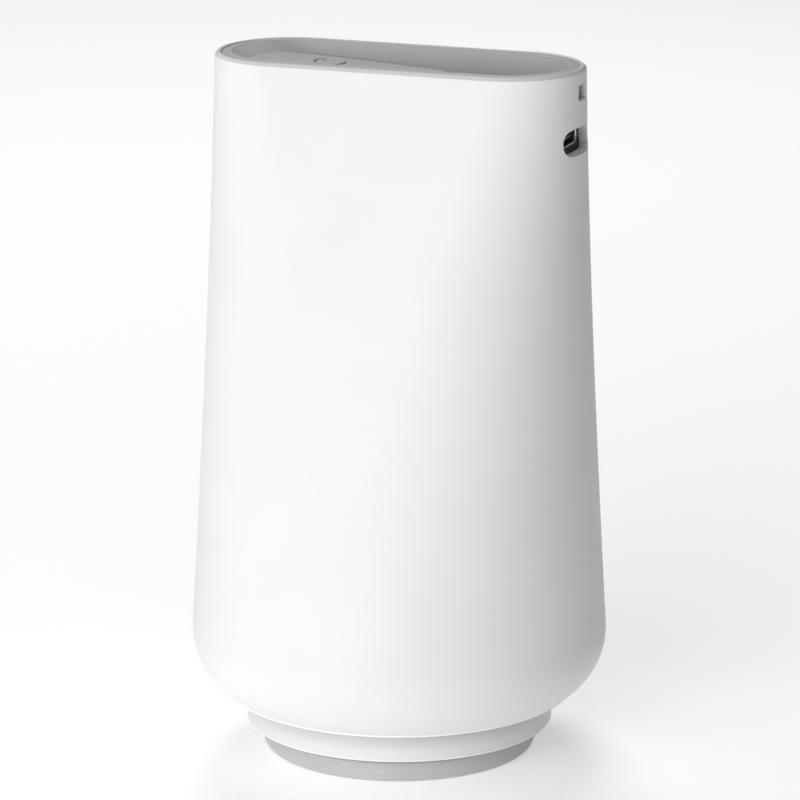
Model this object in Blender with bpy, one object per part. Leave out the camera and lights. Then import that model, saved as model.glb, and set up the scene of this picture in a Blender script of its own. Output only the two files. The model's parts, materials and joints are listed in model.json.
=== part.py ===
"""A compact rechargeable air purifier, built as an assembly of separate pieces.

The white housing is a lofted shell: its section is a stadium at the top and a circle at the belly. It
stands on a round base that carries the filter, and lifts straight off it for a filter change. Air enters
through the ring of slots between the base and the shell, passes the filter from outside to inside, and
leaves through the tray on top.

Metres, +Z up, origin on the table at the middle of the foot, X along the long axis of the top.
"""

from math import cos, pi, radians, sin, tan

import bmesh
import bpy
from mathutils import Matrix, Vector

MM = 0.001
GAP = 0.3 * MM  # air between two pieces that touch or are cut by one another

# ---- outside of the housing ----
HEIGHT = 145.2 * MM  # table to the crest of the lip round the tray
SHELL_TOP = 144.9 * MM
TOP_HALF_LENGTH = 39.0 * MM
TOP_END_RADIUS = 15.6 * MM
TOP_HALF_STRAIGHT = TOP_HALF_LENGTH - TOP_END_RADIUS
TOP_LEAN = 0.006  # outward lean of the ends at the very top, as a slope
STRAIGHT_FADE = 1.65  # how fast the straight sides shrink on the way down
BELLY_Z = 25.2 * MM
BELLY_RADIUS = 43.1 * MM
FLANK_LEAN = radians(3.3)
LOWER_ROUND = 14.8 * MM
LOWER_ROUND_END = radians(60)  # the shell ends here, measured down from level
WALL = 1.8 * MM

# ---- rim and tray ----
RIM_CHAMFER = 0.6 * MM
SHELL_RIM_WIDTH = 1.15 * MM
REBATE_Z = 142.5 * MM  # ledge inside the rim that the tray's flange rests on
TRAY_OUTER_INSET = SHELL_RIM_WIDTH + GAP
TRAY_SKIRT_INSET = 2.3 * MM
LIP_INNER_INSET = 3.6 * MM
FLOOR_EDGE_INSET = 4.6 * MM
FLOOR_END_SHORTENING = 3.3 * MM  # how much gentler the tray's wall runs out at the -X end
FLOOR_DEPTH = 1.3 * MM  # crest of the tray floor, below the lip
FLOOR_CROWN = 0.0105 / MM  # floor falls away from its centre line with the square of y
FLOOR_END_FALL = 0.0035 / MM  # and past FLOOR_END_X with the square of the distance
FLOOR_END_X = -20.0 * MM
FLOOR_SLOPE = 0.055
FLOOR_SLOPE_START = -25.0 * MM
FLOOR_THICKNESS = 1.5 * MM

# ---- base ----
FOOT_HEIGHT = 5.3 * MM
FOOT_RADIUS = 28.3 * MM
FOOT_BOTTOM_RADIUS = 27.7 * MM
FOOT_FLOOR = 3.0 * MM
FOOT_RIM = 3.0 * MM
BASE_RADIUS = 31.85 * MM
BASE_BOTTOM_Z = FOOT_HEIGHT + GAP
BASE_STEP_Z = 12.9 * MM
BASE_TOP_Z = 16.0 * MM
BASE_WALL = 2.0 * MM
GRILLE_Z = BASE_STEP_Z + GAP
GRILLE_THICKNESS = 1.6 * MM
GRILLE_OUTER_RADIUS = 34.4 * MM
GRILLE_RIM_WIDTH = 0.7 * MM
INLET_SLOTS = 24
INLET_SLOT_WIDTH = 6.4 * MM
SEAT_Z = BASE_TOP_Z + GAP
SEAT_TOP_Z = SEAT_Z + 2.0 * MM
SEAT_RADIUS = 32.0 * MM
SPIGOT_RADIUS = 6.7 * MM
SPIGOT_HEIGHT = 1.5 * MM
MAGNET_RING_RADIUS = 29.6 * MM
MAGNET_RADIUS = 1.4 * MM
MAGNET_HEIGHT = 1.3 * MM
BASE_SCREW_RING_RADIUS = 20.0 * MM
BASE_SCREW_ANGLES = (30, 150, 270)
MAGNET_ANGLES = (90, 210, 330)
BASE_SHANK_RADIUS = 1.1 * MM
BASE_BOSS_RADIUS = 3.0 * MM
BASE_SCREW_HEAD_RADIUS = 2.5 * MM
BASE_SCREW_LENGTH_BELOW = 6.0 * MM  # how far a base screw reaches below the tub's upper edge
HEAD_SINK_RADIUS = 2.9 * MM
HEAD_SINK_DEPTH = 1.5 * MM
POCKET_FLOOR_GAP = 0.4 * MM
SINK = 0.1 * MM  # screw heads and magnets lie this far below the face around them
COLLAR_TOP_Z = 20.8 * MM
COLLAR_RADII = (37.4 * MM, 38.8 * MM)
TAB_REACH = (27.4 * MM, 38.0 * MM)
TAB_HALF_WIDTH = 4.0 * MM

# ---- filter ----
FILTER_CAP_RADIUS = 27.0 * MM
FILTER_CAP_HEIGHT = 2.5 * MM
FILTER_Z = SEAT_TOP_Z + GAP
MEDIA_Z = (FILTER_Z + FILTER_CAP_HEIGHT + GAP, 54.0 * MM)
PLEATS = 36
PLEAT_RADII = (25.9 * MM, 22.6 * MM)
MEDIA_INNER_RADIUS = 17.5 * MM
CARBON_RADII = (14.8 * MM, 17.2 * MM)
SLEEVE_RADII = (26.2 * MM, 26.9 * MM)
CAP_EYE_RADIUS = 14.5 * MM
GASKET_RADII = (15.0 * MM, 19.0 * MM)

# ---- fan ----
CHASSIS_Z = (59.3 * MM, 61.8 * MM)
INLET_RADIUS = 15.0 * MM
VOLUTE_RADIUS = 31.0 * MM
VOLUTE_WALL = 1.6 * MM
VOLUTE_Z = (CHASSIS_Z[1] + GAP, 80.3 * MM)
COVER_Z = (VOLUTE_Z[1] + GAP, VOLUTE_Z[1] + GAP + 2.0 * MM)
IMPELLER_RADIUS = 23.5 * MM
IMPELLER_Z = (64.3 * MM, 78.0 * MM)
BLADES = 16
BLADE_INNER_RADIUS = 16.5 * MM
BLADE_OUTER_RADIUS = 23.1 * MM
BLADE_THICKNESS = 0.8 * MM
BLADE_SWEEP = 13  # degrees that a blade leads by at its tip
HUB_RADIUS = 11.5 * MM
FAN_SCREW_RING_RADIUS = 27.2 * MM
FAN_SCREW_ANGLES = (90, 210, 330)
FAN_SHANK_RADIUS = 1.2 * MM
FAN_BOSS_RADIUS = 2.4 * MM
FAN_SCREW_HEAD_RADIUS = 2.2 * MM
FAN_SCREW_HEAD_HEIGHT = 1.2 * MM
FOOT_RING_WIDTH = 2.2 * MM
FOOT_RING_HEIGHT = 1.1 * MM
CAN_CLEARANCE_RADIUS = 10.3 * MM

# ---- motor ----
MOTOR_PLATE_Z = 78.9 * MM
MOTOR_PLATE_RADIUS = 9.0 * MM
BEARING_TUBE_RADII = (2.8 * MM, 3.4 * MM)
BEARING_TUBE_FOOT = 69.5 * MM
BEARING_FEET = (69.8 * MM, 76.2 * MM)
BEARING_HEIGHT = 2.2 * MM
BEARING_BORE_GAP = 0.1 * MM
SHAFT_RADIUS = 1.0 * MM
SHAFT_Z = (67.0 * MM, 78.8 * MM)
CAN_Z = (66.8 * MM, 77.8 * MM)
CAN_RADII = (9.2 * MM, 10.0 * MM)
CAN_FLOOR = 1.0 * MM
STATOR_TEETH = 9
STATOR_RADII = (5.2 * MM, 8.6 * MM)
STATOR_Z = (70.0 * MM, 77.0 * MM)

# ---- duct and outlet ----
DUCT_X = (6.5 * MM, 28.5 * MM)
DUCT_HALF_WIDTH = 9.5 * MM
DUCT_WALL = 1.5 * MM
DUCT_TOP_Z = 138.0 * MM
OUTLET_SLOTS = 8
OUTLET_SLOT_HALF_WIDTH = 0.65 * MM
OUTLET_CORNER = 2.0 * MM
DUCT_CORNER = 3.0 * MM
PLATE_THICKNESS = 1.3 * MM
PLATE_SINK = 0.2 * MM  # the grille lies this far below the lowest edge of its opening

# ---- button ----
BUTTON_X = -14.9 * MM
BUTTON_RADIUS = 3.1 * MM
BUTTON_TOP_Z = 143.4 * MM
SPRING_Z = (135.5 * MM, 139.6 * MM)
SPRING_TURNS = 4
SPRING_COIL_RADIUS = 2.5 * MM
SPRING_WIRE_RADIUS = 0.2 * MM
BUTTON_SKIRT = 2.5 * MM
BUTTON_FLANGE_WIDTH = 1.1 * MM
BUTTON_FLANGE_HEIGHT = 1.0 * MM
STEM_RADIUS = 1.6 * MM
STEM_FOOT = 136.4 * MM
SWITCH_Z = (133.4 * MM, 135.2 * MM)
SWITCH_HALF_WIDTH = 3.0 * MM
PLUNGER_RADIUS = 1.5 * MM
WELL_FLOOR = 0.5 * MM
BOARD_THICKNESS = 1.2 * MM
BUTTON_BOARD_HALF_X = 6.5 * MM
BUTTON_BOARD_HALF_Y = 6.0 * MM

# ---- battery and main board ----
CELL_X = (-31.0 * MM, -23.0 * MM)
CELL_Z = (84.4 * MM, 128.0 * MM)
CELL_HALF_WIDTH = 13.0 * MM
CELL_CORNER = 2.0 * MM
CRADLE_WALL = 1.2 * MM
CRADLE_HALF_WIDTH = 10.0 * MM
BOARD_STANDOFF = 0.6 * MM
MAIN_BOARD_THICKNESS = 1.4 * MM
MAIN_BOARD_Y = (-15.0 * MM, 15.0 * MM)
MAIN_BOARD_Z = (85.0 * MM, 125.0 * MM)
MCU_Y = (-4.0 * MM, 4.0 * MM)
MCU_Z = (98.0 * MM, 106.0 * MM)
MCU_HEIGHT = 1.2 * MM
INDUCTOR_CENTRE = (6.0 * MM, 116.0 * MM)
INDUCTOR_HALF_WIDTH = 3.5 * MM
INDUCTOR_HEIGHT = 3.4 * MM
POST_RADIUS = 2.2 * MM
END_POST_X = -34.5 * MM
END_POST_Z = (62.1 * MM, 141.0 * MM)
SIDE_POST_AT = (10.0 * MM, 12.6 * MM)
SIDE_POST_TOP = 138.0 * MM

# ---- charging port and light window, on the +X end ----
PORT_Z = 130.9 * MM
PORT_HALF_WIDTH = 7.3 * MM
PORT_HALF_HEIGHT = 2.45 * MM
PORT_FLOOR_X = 36.0 * MM
SOCKET_MOUTH_X = 36.3 * MM
SOCKET_BACK_X = 29.0 * MM
SOCKET_HALF_WIDTH = 4.47 * MM
SOCKET_HALF_HEIGHT = 1.63 * MM
SOCKET_SHEET = 0.3 * MM
WINDOW_Z = 140.6 * MM
WINDOW_HALF_WIDTH = 2.0 * MM
WINDOW_HALF_HEIGHT = 1.5 * MM
WINDOW_CORNER = 0.3 * MM
BEZEL_MARGIN = 1.2 * MM
BEZEL_CORE_Z = (124.0 * MM, 138.0 * MM)
BEZEL_BACK = 1.8 * MM
SOCKET_HOLE_MARGIN = (1.1 * MM, 0.42 * MM)
TONGUE_HALF_WIDTH = 3.35 * MM
TONGUE_HALF_HEIGHT = 0.35 * MM
TONGUE_SINK = 0.7 * MM
TONGUE_ROOT = (3.8 * MM, 1.0 * MM)
PORT_BOARD_DROP = 0.27 * MM
PORT_BOARD_HALF_WIDTH = 7.0 * MM
LENS_X = (36.4 * MM, 38.1 * MM)
LENS_LEG_THICKNESS = 0.4 * MM
LENS_LEG_HALF_WIDTH = 1.2 * MM
LENS_LEG_FOOT = 136.0 * MM
LAMP_HALF_WIDTH = 0.8 * MM
LAMP_HEIGHT = 0.8 * MM
LAMP_LENGTH = 1.4 * MM

# ---- fineness of the round shapes ----
SECTION_POINTS = 48
FINE_STEPS = 40
SMALL_STEPS = 12
CUT = 1.0 * MM  # how far a cutter reaches past the face it opens
SHARP_ANGLE = radians(35)


# ---- helpers ----


def clear_scene():
    for obj in list(bpy.data.objects):
        bpy.data.objects.remove(obj, do_unlink=True)


def material(name, color, roughness, metallic=0.0):
    """A Principled material; color is linear RGB."""
    made = bpy.data.materials.new(name)
    made.use_nodes = True
    shader = made.node_tree.nodes["Principled BSDF"]
    shader.inputs["Base Color"].default_value = (*color, 1.0)
    shader.inputs["Roughness"].default_value = roughness
    shader.inputs["Metallic"].default_value = metallic
    made.diffuse_color = (*color, 1.0)
    return made


def finish_mesh(name, bm, mat, origin=(0, 0, 0)):
    """Closes a bmesh into a named object, with its faces out and its origin at the given point."""
    bmesh.ops.remove_doubles(bm, verts=bm.verts, dist=1e-7)
    bmesh.ops.recalc_face_normals(bm, faces=bm.faces)
    bmesh.ops.translate(bm, verts=bm.verts, vec=-Vector(origin))
    mesh = bpy.data.meshes.new(name)
    bm.to_mesh(mesh)
    bm.free()
    mesh.shade_smooth()
    mesh.set_sharp_from_angle(angle=SHARP_ANGLE)
    mesh.materials.append(mat)
    obj = bpy.data.objects.new(name, mesh)
    obj.location = origin
    bpy.context.scene.collection.objects.link(obj)
    return obj


def turned(name, profile, mat, steps=FINE_STEPS, centre=(0, 0), origin=(0, 0, 0)):
    """Spins a profile of (radius, z) points about the vertical line through centre.

    A profile that starts and ends on the axis makes a solid of one piece; any other is a closed loop.
    """
    bm = bmesh.new()
    verts = [bm.verts.new((radius, 0, z)) for radius, z in profile]
    edges = [bm.edges.new(pair) for pair in zip(verts, verts[1:])]
    if profile[0][0] > 0 or profile[-1][0] > 0:
        edges.append(bm.edges.new((verts[-1], verts[0])))
    bmesh.ops.spin(
        bm,
        geom=verts + edges,
        cent=(0, 0, 0),
        axis=(0, 0, 1),
        angle=2 * pi,
        steps=steps,
        use_merge=True,
    )
    bmesh.ops.translate(bm, verts=bm.verts, vec=(*centre, 0))
    return finish_mesh(name, bm, mat, origin)


def lofted(name, rings, mat, ring_of_rings=True):
    """Skins rings of equally many points, in a closed loop, or capped at both ends."""
    bm = bmesh.new()
    loops = [[bm.verts.new(point) for point in ring] for ring in rings]
    pairs = list(zip(loops, loops[1:]))
    if ring_of_rings:
        pairs.append((loops[-1], loops[0]))
    for low, high in pairs:
        for index in range(len(low)):
            following = (index + 1) % len(low)
            bm.faces.new((low[index], low[following], high[following], high[index]))
    if not ring_of_rings:
        bm.faces.new(loops[0])
        bm.faces.new(loops[-1])
    return finish_mesh(name, bm, mat)


def prism(name, outline, low, high, mat, axis="Z"):
    """Extrudes (u, v) points from low to high, along Z, or along X with u as y and v as z."""
    if axis == "Z":
        ends = [[(u, v, level) for u, v in outline] for level in (low, high)]
    else:
        ends = [[(level, u, v) for u, v in outline] for level in (low, high)]
    return lofted(name, ends, mat, ring_of_rings=False)


def box(name, x, y, z, mat):
    """A block between the two limits on each axis."""
    outline = [(x[0], y[0]), (x[1], y[0]), (x[1], y[1]), (x[0], y[1])]
    return prism(name, outline, z[0], z[1], mat)


def stadium(half_width, half_height, centre=(0, 0), points=24):
    """A flat oval with round ends, as (u, v) points, its long axis along u."""
    straight = half_width - half_height
    outline = []
    for index in range(points):
        angle = 2 * pi * (index + 0.5) / points
        shift = straight if cos(angle) > 0 else -straight
        across = centre[0] + shift + half_height * cos(angle)
        outline.append((across, centre[1] + half_height * sin(angle)))
    return outline


def rounded_box(half_width, half_height, radius, centre=(0, 0), corner_points=3):
    """A rectangle with round corners, as (u, v) points."""
    outline = []
    for corner in range(4):
        across = centre[0] + (half_width - radius if corner in (0, 3) else radius - half_width)
        up = centre[1] + (half_height - radius if corner in (0, 1) else radius - half_height)
        for index in range(corner_points + 1):
            angle = pi / 2 * (corner + index / corner_points)
            outline.append((across + radius * cos(angle), up + radius * sin(angle)))
    return outline


def polar(radius, degrees):
    return (radius * cos(radians(degrees)), radius * sin(radians(degrees)))


def boolean(target, cutter, operation="DIFFERENCE"):
    """Adds a Boolean that stays on the target, and hides the other object."""
    modifier = target.modifiers.new(cutter.name, "BOOLEAN")
    modifier.operation = operation
    modifier.solver = "EXACT"
    modifier.object = cutter
    cutter.hide_render = True
    cutter.display_type = "WIRE"
    return target


def joined(name, parts):
    """Puts several closed shapes into one helper object, for use in a Boolean."""
    bm = bmesh.new()
    for part in parts:
        part.data.transform(part.matrix_basis)
        bm.from_mesh(part.data)
        bpy.data.objects.remove(part, do_unlink=True)
    mesh = bpy.data.meshes.new(name)
    bm.to_mesh(mesh)
    bm.free()
    obj = bpy.data.objects.new(name, mesh)
    bpy.context.scene.collection.objects.link(obj)
    return obj


# ---- materials ----

WHITE = material("white_plastic", (0.86, 0.855, 0.84), 0.42)
TRAY_WHITE = material("tray_plastic", (0.62, 0.615, 0.60), 0.45)
SILICONE = material("grey_silicone", (0.42, 0.42, 0.415), 0.6)
INNER = material("inner_plastic", (0.30, 0.31, 0.32), 0.5)
PALE = material("pale_abs", (0.55, 0.56, 0.56), 0.5)
BEZEL = material("bezel_plastic", (0.16, 0.16, 0.16), 0.5)
STEEL = material("steel", (0.62, 0.62, 0.60), 0.3, 1.0)
PAPER = material("filter_paper", (0.83, 0.82, 0.77), 0.9)
CARBON = material("carbon", (0.03, 0.03, 0.03), 0.95)
MESH = material("prefilter_net", (0.20, 0.21, 0.22), 0.8)
FOAM = material("foam", (0.05, 0.05, 0.05), 0.95)
BOARD = material("circuit_board", (0.02, 0.14, 0.07), 0.4)
CHIP = material("chip", (0.015, 0.015, 0.017), 0.35)
LENS = material("lens", (0.35, 0.35, 0.34), 0.3)
COPPER = material("winding_core", (0.45, 0.22, 0.12), 0.4, 1.0)
POUCH = material("battery_pouch", (0.45, 0.47, 0.50), 0.35)


# ---- outline of the housing ----


ROUND_CENTRE_RADIUS = BELLY_RADIUS - LOWER_ROUND
FLANK_END_Z = BELLY_Z + LOWER_ROUND * sin(FLANK_LEAN)
FLANK_END_RADIUS = ROUND_CENTRE_RADIUS + LOWER_ROUND * cos(FLANK_LEAN)
FLANK_HEIGHT = SHELL_TOP - FLANK_END_Z


def fall(z):
    """How far down the flank a height lies: 0 at the rim, 1 where the lower rounding starts."""
    return min(max((SHELL_TOP - z) / FLANK_HEIGHT, 0.0), 1.0)


def half_length(z):
    """Half of the section's length at a height on the flank: a cubic with a set lean at each end."""
    t = fall(z)
    start = (2 * t**3 - 3 * t**2 + 1) * TOP_HALF_LENGTH
    start_lean = (t**3 - 2 * t**2 + t) * TOP_LEAN * FLANK_HEIGHT
    end = (3 * t**2 - 2 * t**3) * FLANK_END_RADIUS
    end_lean = (t**3 - t**2) * tan(FLANK_LEAN) * FLANK_HEIGHT
    return start + start_lean + end + end_lean


def half_straight(z):
    """Half of the straight stretch of the section's sides, which fades to nothing at the belly."""
    return TOP_HALF_STRAIGHT * (1 - fall(z)) ** STRAIGHT_FADE


def section(z, inset, points=SECTION_POINTS):
    """The housing's outline at a height on the flank, moved inwards by inset."""
    straight = half_straight(z)
    end_radius = half_length(z) - straight - inset
    return [(u, v, z) for u, v in stadium(straight + end_radius, end_radius, points=points)]


def lower_ring(angle, inset, points=SECTION_POINTS):
    """A ring on the lower rounding, at an angle below level."""
    reach = LOWER_ROUND - inset
    radius = ROUND_CENTRE_RADIUS + reach * cos(angle)
    z = BELLY_Z - reach * sin(angle)
    return [(u, v, z) for u, v in stadium(radius, radius, points=points)]


def blend_steps(start, end, count):
    return [start + (end - start) * index / (count - 1) for index in range(count)]


def rim_section(inset, z, points=SECTION_POINTS):
    """A ring that keeps the plan of the rim: the tray and the rim are cut straight down."""
    end_radius = TOP_END_RADIUS - inset
    return [(u, v, z) for u, v in stadium(TOP_HALF_STRAIGHT + end_radius, end_radius, points=points)]


def port_outline(half_width, half_height):
    return stadium(half_width, half_height, (0, PORT_Z))


def window_outline(margin=0.0):
    half_width = WINDOW_HALF_WIDTH - margin
    half_height = WINDOW_HALF_HEIGHT - margin
    return rounded_box(half_width, half_height, WINDOW_CORNER, (0, WINDOW_Z), 2)


def make_body_shell():
    """The white housing, open at the top for the tray and at the bottom for the base."""
    rings = [rim_section(SHELL_RIM_WIDTH, SHELL_TOP), rim_section(RIM_CHAMFER, SHELL_TOP)]
    rings.append(rim_section(0, SHELL_TOP - RIM_CHAMFER))
    outer_levels = blend_steps(SHELL_TOP - 6 * MM, FLANK_END_Z, 10)
    rings += [section(z, 0) for z in outer_levels]
    rings += [lower_ring(angle, 0) for angle in blend_steps(0, LOWER_ROUND_END, 7)]
    rings += [lower_ring(angle, WALL) for angle in blend_steps(LOWER_ROUND_END, 0, 4)]
    inner_levels = blend_steps(FLANK_END_Z, SHELL_TOP - 12 * MM, 6)
    rings += [section(z, WALL) for z in inner_levels]
    rings += [rim_section(WALL, REBATE_Z), rim_section(SHELL_RIM_WIDTH, REBATE_Z)]
    shell = lofted("body_shell", rings, WHITE)
    end_x = (TOP_HALF_LENGTH - 6 * MM, TOP_HALF_LENGTH + 4 * MM)
    port = port_outline(PORT_HALF_WIDTH, PORT_HALF_HEIGHT)
    boolean(shell, prism("port_cutter", port, *end_x, WHITE, "X"))
    boolean(shell, prism("window_cutter", window_outline(), *end_x, WHITE, "X"))


# ---- tray, grille and button ----


def floor_z(x, y):
    """Height of the tray floor: crowned across, sloping down to the +X end, and dipping at the other."""
    slope = FLOOR_SLOPE * max(0.0, x - FLOOR_SLOPE_START)
    dip = FLOOR_END_FALL * max(0.0, FLOOR_END_X - x) ** 2
    return HEIGHT - FLOOR_DEPTH - FLOOR_CROWN * y * y - slope - dip


def floor_ring(inset, lift):
    """A ring on the floor's outline, which stops short of the rim's at the -X end."""
    shrink = 1 - FLOOR_END_SHORTENING / (TOP_HALF_LENGTH - FLOOR_EDGE_INSET)
    plan = [(x * shrink if x < 0 else x, y) for x, y, _ in rim_section(inset, 0)]
    return [(x, y, floor_z(x, y) + lift) for x, y in plan]


def make_top_tray():
    """The scooped tray: a lip that lies in the shell's rebate, a steep wall and a sloping floor."""
    floor_insets = [TOP_END_RADIUS - 0.4 * MM, 12 * MM, 8 * MM, FLOOR_EDGE_INSET]
    rings = [floor_ring(inset, 0) for inset in floor_insets]
    wall_foot = FLOOR_EDGE_INSET - 0.2 * MM
    rings.append(floor_ring(wall_foot, 0.25 * MM))
    rings.append(rim_section(LIP_INNER_INSET, HEIGHT - 0.25 * MM))
    rings.append(rim_section(LIP_INNER_INSET - 0.2 * MM, HEIGHT - 0.05 * MM))
    rings.append(rim_section(LIP_INNER_INSET - 0.5 * MM, HEIGHT))
    rings.append(rim_section(TRAY_OUTER_INSET, HEIGHT - 0.3 * MM))
    rings.append(rim_section(TRAY_OUTER_INSET, REBATE_Z + GAP))
    rings.append(rim_section(TRAY_SKIRT_INSET, REBATE_Z + GAP))
    rings.append(floor_ring(TRAY_SKIRT_INSET, -FLOOR_THICKNESS))
    rings += [floor_ring(inset, -FLOOR_THICKNESS) for inset in reversed(floor_insets)]
    tray = lofted("top_tray", rings, TRAY_WHITE, ring_of_rings=False)
    cut_z = (HEIGHT - 12 * MM, HEIGHT + 2 * MM)
    hole = disc_profile(BUTTON_RADIUS + GAP, *cut_z)
    boolean(tray, turned("button_hole_cutter", hole, WHITE, 32, (BUTTON_X, 0)))
    boolean(tray, prism("outlet_cutter", outlet_outline(0), *cut_z, WHITE))
    groove_x = (LENS_X[0] - GAP, LENS_X[0] + LENS_LEG_THICKNESS + GAP)
    groove_z = (cut_z[0], WINDOW_Z + WINDOW_HALF_HEIGHT)
    groove_y = (-WINDOW_HALF_WIDTH, WINDOW_HALF_WIDTH)
    boolean(tray, box("light_groove_cutter", groove_x, groove_y, groove_z, WHITE))


OUTLET_CENTRE_X = (DUCT_X[0] + DUCT_X[1]) / 2
OUTLET_HALF_LENGTH = (DUCT_X[1] - DUCT_X[0]) / 2 - DUCT_WALL
OUTLET_HALF_WIDTH = DUCT_HALF_WIDTH - DUCT_WALL


def outlet_outline(margin):
    """The opening in the tray floor over the duct, moved inwards by margin."""
    half_length_left = OUTLET_HALF_LENGTH - margin
    half_width_left = OUTLET_HALF_WIDTH - margin
    return rounded_box(half_length_left, half_width_left, OUTLET_CORNER, (OUTLET_CENTRE_X, 0))


def make_outlet_grille():
    """A slotted plate that lies in the outlet, tilted with the floor."""
    plate_top = floor_z(OUTLET_CENTRE_X, OUTLET_HALF_WIDTH) - PLATE_SINK
    plate_z = (plate_top - PLATE_THICKNESS, plate_top)
    plate = prism("outlet_grille", outlet_outline(GAP), *plate_z, TRAY_WHITE)
    slots = []
    pitch = 2 * (OUTLET_HALF_LENGTH - 1 * MM) / OUTLET_SLOTS
    slot_half_length = OUTLET_HALF_WIDTH - 1.8 * MM
    slot_corner = 0.5 * MM
    for index in range(OUTLET_SLOTS):
        x = OUTLET_CENTRE_X + (index - (OUTLET_SLOTS - 1) / 2) * pitch
        slot = rounded_box(OUTLET_SLOT_HALF_WIDTH, slot_half_length, slot_corner, (x, 0), 2)
        slots.append(prism("slot", slot, plate_top - 4 * MM, plate_top + 2 * MM, WHITE))
    cutter = joined("outlet_slots", slots)
    boolean(plate, cutter)
    centre = Matrix.Translation((OUTLET_CENTRE_X, 0, plate_top))
    tilt = centre @ Matrix.Rotation(FLOOR_SLOPE, 4, "Y") @ centre.inverted()
    for obj in (plate, cutter):
        obj.data.transform(tilt)


def make_outlet_duct():
    """The upright passage from the fan case to the outlet."""
    centre = (OUTLET_CENTRE_X, 0)
    outer = rounded_box(OUTLET_HALF_LENGTH + DUCT_WALL, DUCT_HALF_WIDTH, DUCT_CORNER, centre)
    inner = outlet_outline(0)
    low = COVER_Z[1] + GAP
    rings = []
    for outline, level in ((outer, low), (outer, DUCT_TOP_Z), (inner, DUCT_TOP_Z), (inner, low)):
        rings.append([(u, v, level) for u, v in outline])
    lofted("outlet_duct", rings, INNER)


def make_button_group():
    """The power button with its spring, switch and board, all on one upright line."""
    axis = (BUTTON_X, 0, 0)
    centre = (BUTTON_X, 0)
    flange_top = BUTTON_TOP_Z - BUTTON_SKIRT
    flange_foot = flange_top - BUTTON_FLANGE_HEIGHT
    flange_radius = BUTTON_RADIUS + BUTTON_FLANGE_WIDTH
    cap = [
        (0, BUTTON_TOP_Z + 0.05 * MM),
        (BUTTON_RADIUS * 0.6, BUTTON_TOP_Z),
        (BUTTON_RADIUS - 0.3 * MM, BUTTON_TOP_Z - 0.15 * MM),
        (BUTTON_RADIUS, BUTTON_TOP_Z - 0.45 * MM),
        (BUTTON_RADIUS, flange_top),
        (flange_radius, flange_top),
        (flange_radius, flange_foot),
        (STEM_RADIUS, flange_foot),
        (STEM_RADIUS, STEM_FOOT),
        (0, STEM_FOOT),
    ]
    turned("power_button", cap, TRAY_WHITE, 32, centre, axis)
    plunger = disc_profile(PLUNGER_RADIUS, SWITCH_Z[1] - GAP, STEM_FOOT - GAP)
    turned("tact_plunger", plunger, CHIP, SMALL_STEPS, centre, axis)
    switch_x = (BUTTON_X - SWITCH_HALF_WIDTH, BUTTON_X + SWITCH_HALF_WIDTH)
    switch_y = (-SWITCH_HALF_WIDTH, SWITCH_HALF_WIDTH)
    switch = box("tact_switch", switch_x, switch_y, SWITCH_Z, STEEL)
    well = disc_profile(PLUNGER_RADIUS + GAP, SWITCH_Z[0] + WELL_FLOOR, SWITCH_Z[1] + CUT)
    boolean(switch, turned("plunger_well_cutter", well, WHITE, SMALL_STEPS, centre))
    board_x = (BUTTON_X - BUTTON_BOARD_HALF_X, BUTTON_X + BUTTON_BOARD_HALF_X)
    board_y = (-BUTTON_BOARD_HALF_Y, BUTTON_BOARD_HALF_Y)
    board_top = SWITCH_Z[0] - GAP
    box("button_board", board_x, board_y, (board_top - BOARD_THICKNESS, board_top), BOARD)
    make_spring("button_spring", centre)


def make_spring(name, centre):
    """A wire coil round the button's stem, as a tube along a helix."""
    curve = bpy.data.curves.new(name, "CURVE")
    curve.dimensions = "3D"
    curve.bevel_depth = SPRING_WIRE_RADIUS
    curve.bevel_resolution = 0
    curve.use_fill_caps = True
    points_per_turn = 8
    count = SPRING_TURNS * points_per_turn + 1
    spline = curve.splines.new("POLY")
    spline.points.add(count - 1)
    low = SPRING_Z[0] + SPRING_WIRE_RADIUS
    high = SPRING_Z[1] - SPRING_WIRE_RADIUS
    for index, point in enumerate(spline.points):
        angle = 2 * pi * index / points_per_turn
        x = centre[0] + SPRING_COIL_RADIUS * cos(angle)
        y = centre[1] + SPRING_COIL_RADIUS * sin(angle)
        point.co = (x, y, low + (high - low) * index / (count - 1), 1)
    curve.materials.append(STEEL)
    obj = bpy.data.objects.new(name, curve)
    bpy.context.scene.collection.objects.link(obj)


# ---- base and filter ----


def ring_profile(inner, outer, low, high):
    return [(inner, low), (outer, low), (outer, high), (inner, high)]


def disc_profile(radius, low, high):
    return [(0, low), (radius, low), (radius, high), (0, high)]


def make_screw(name, at, head_z, foot_z, head_radius, shank_radius, head_height=1.1 * MM):
    """A pan-head screw with its head up, from the head's top at head_z down to foot_z."""
    profile = [
        (0, head_z),
        (head_radius * 0.7, head_z),
        (head_radius, head_z - head_height * 0.5),
        (head_radius, head_z - head_height),
        (shank_radius, head_z - head_height),
        (shank_radius, foot_z + shank_radius),
        (0, foot_z),
    ]
    turned(name, profile, STEEL, SMALL_STEPS, at)


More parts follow.
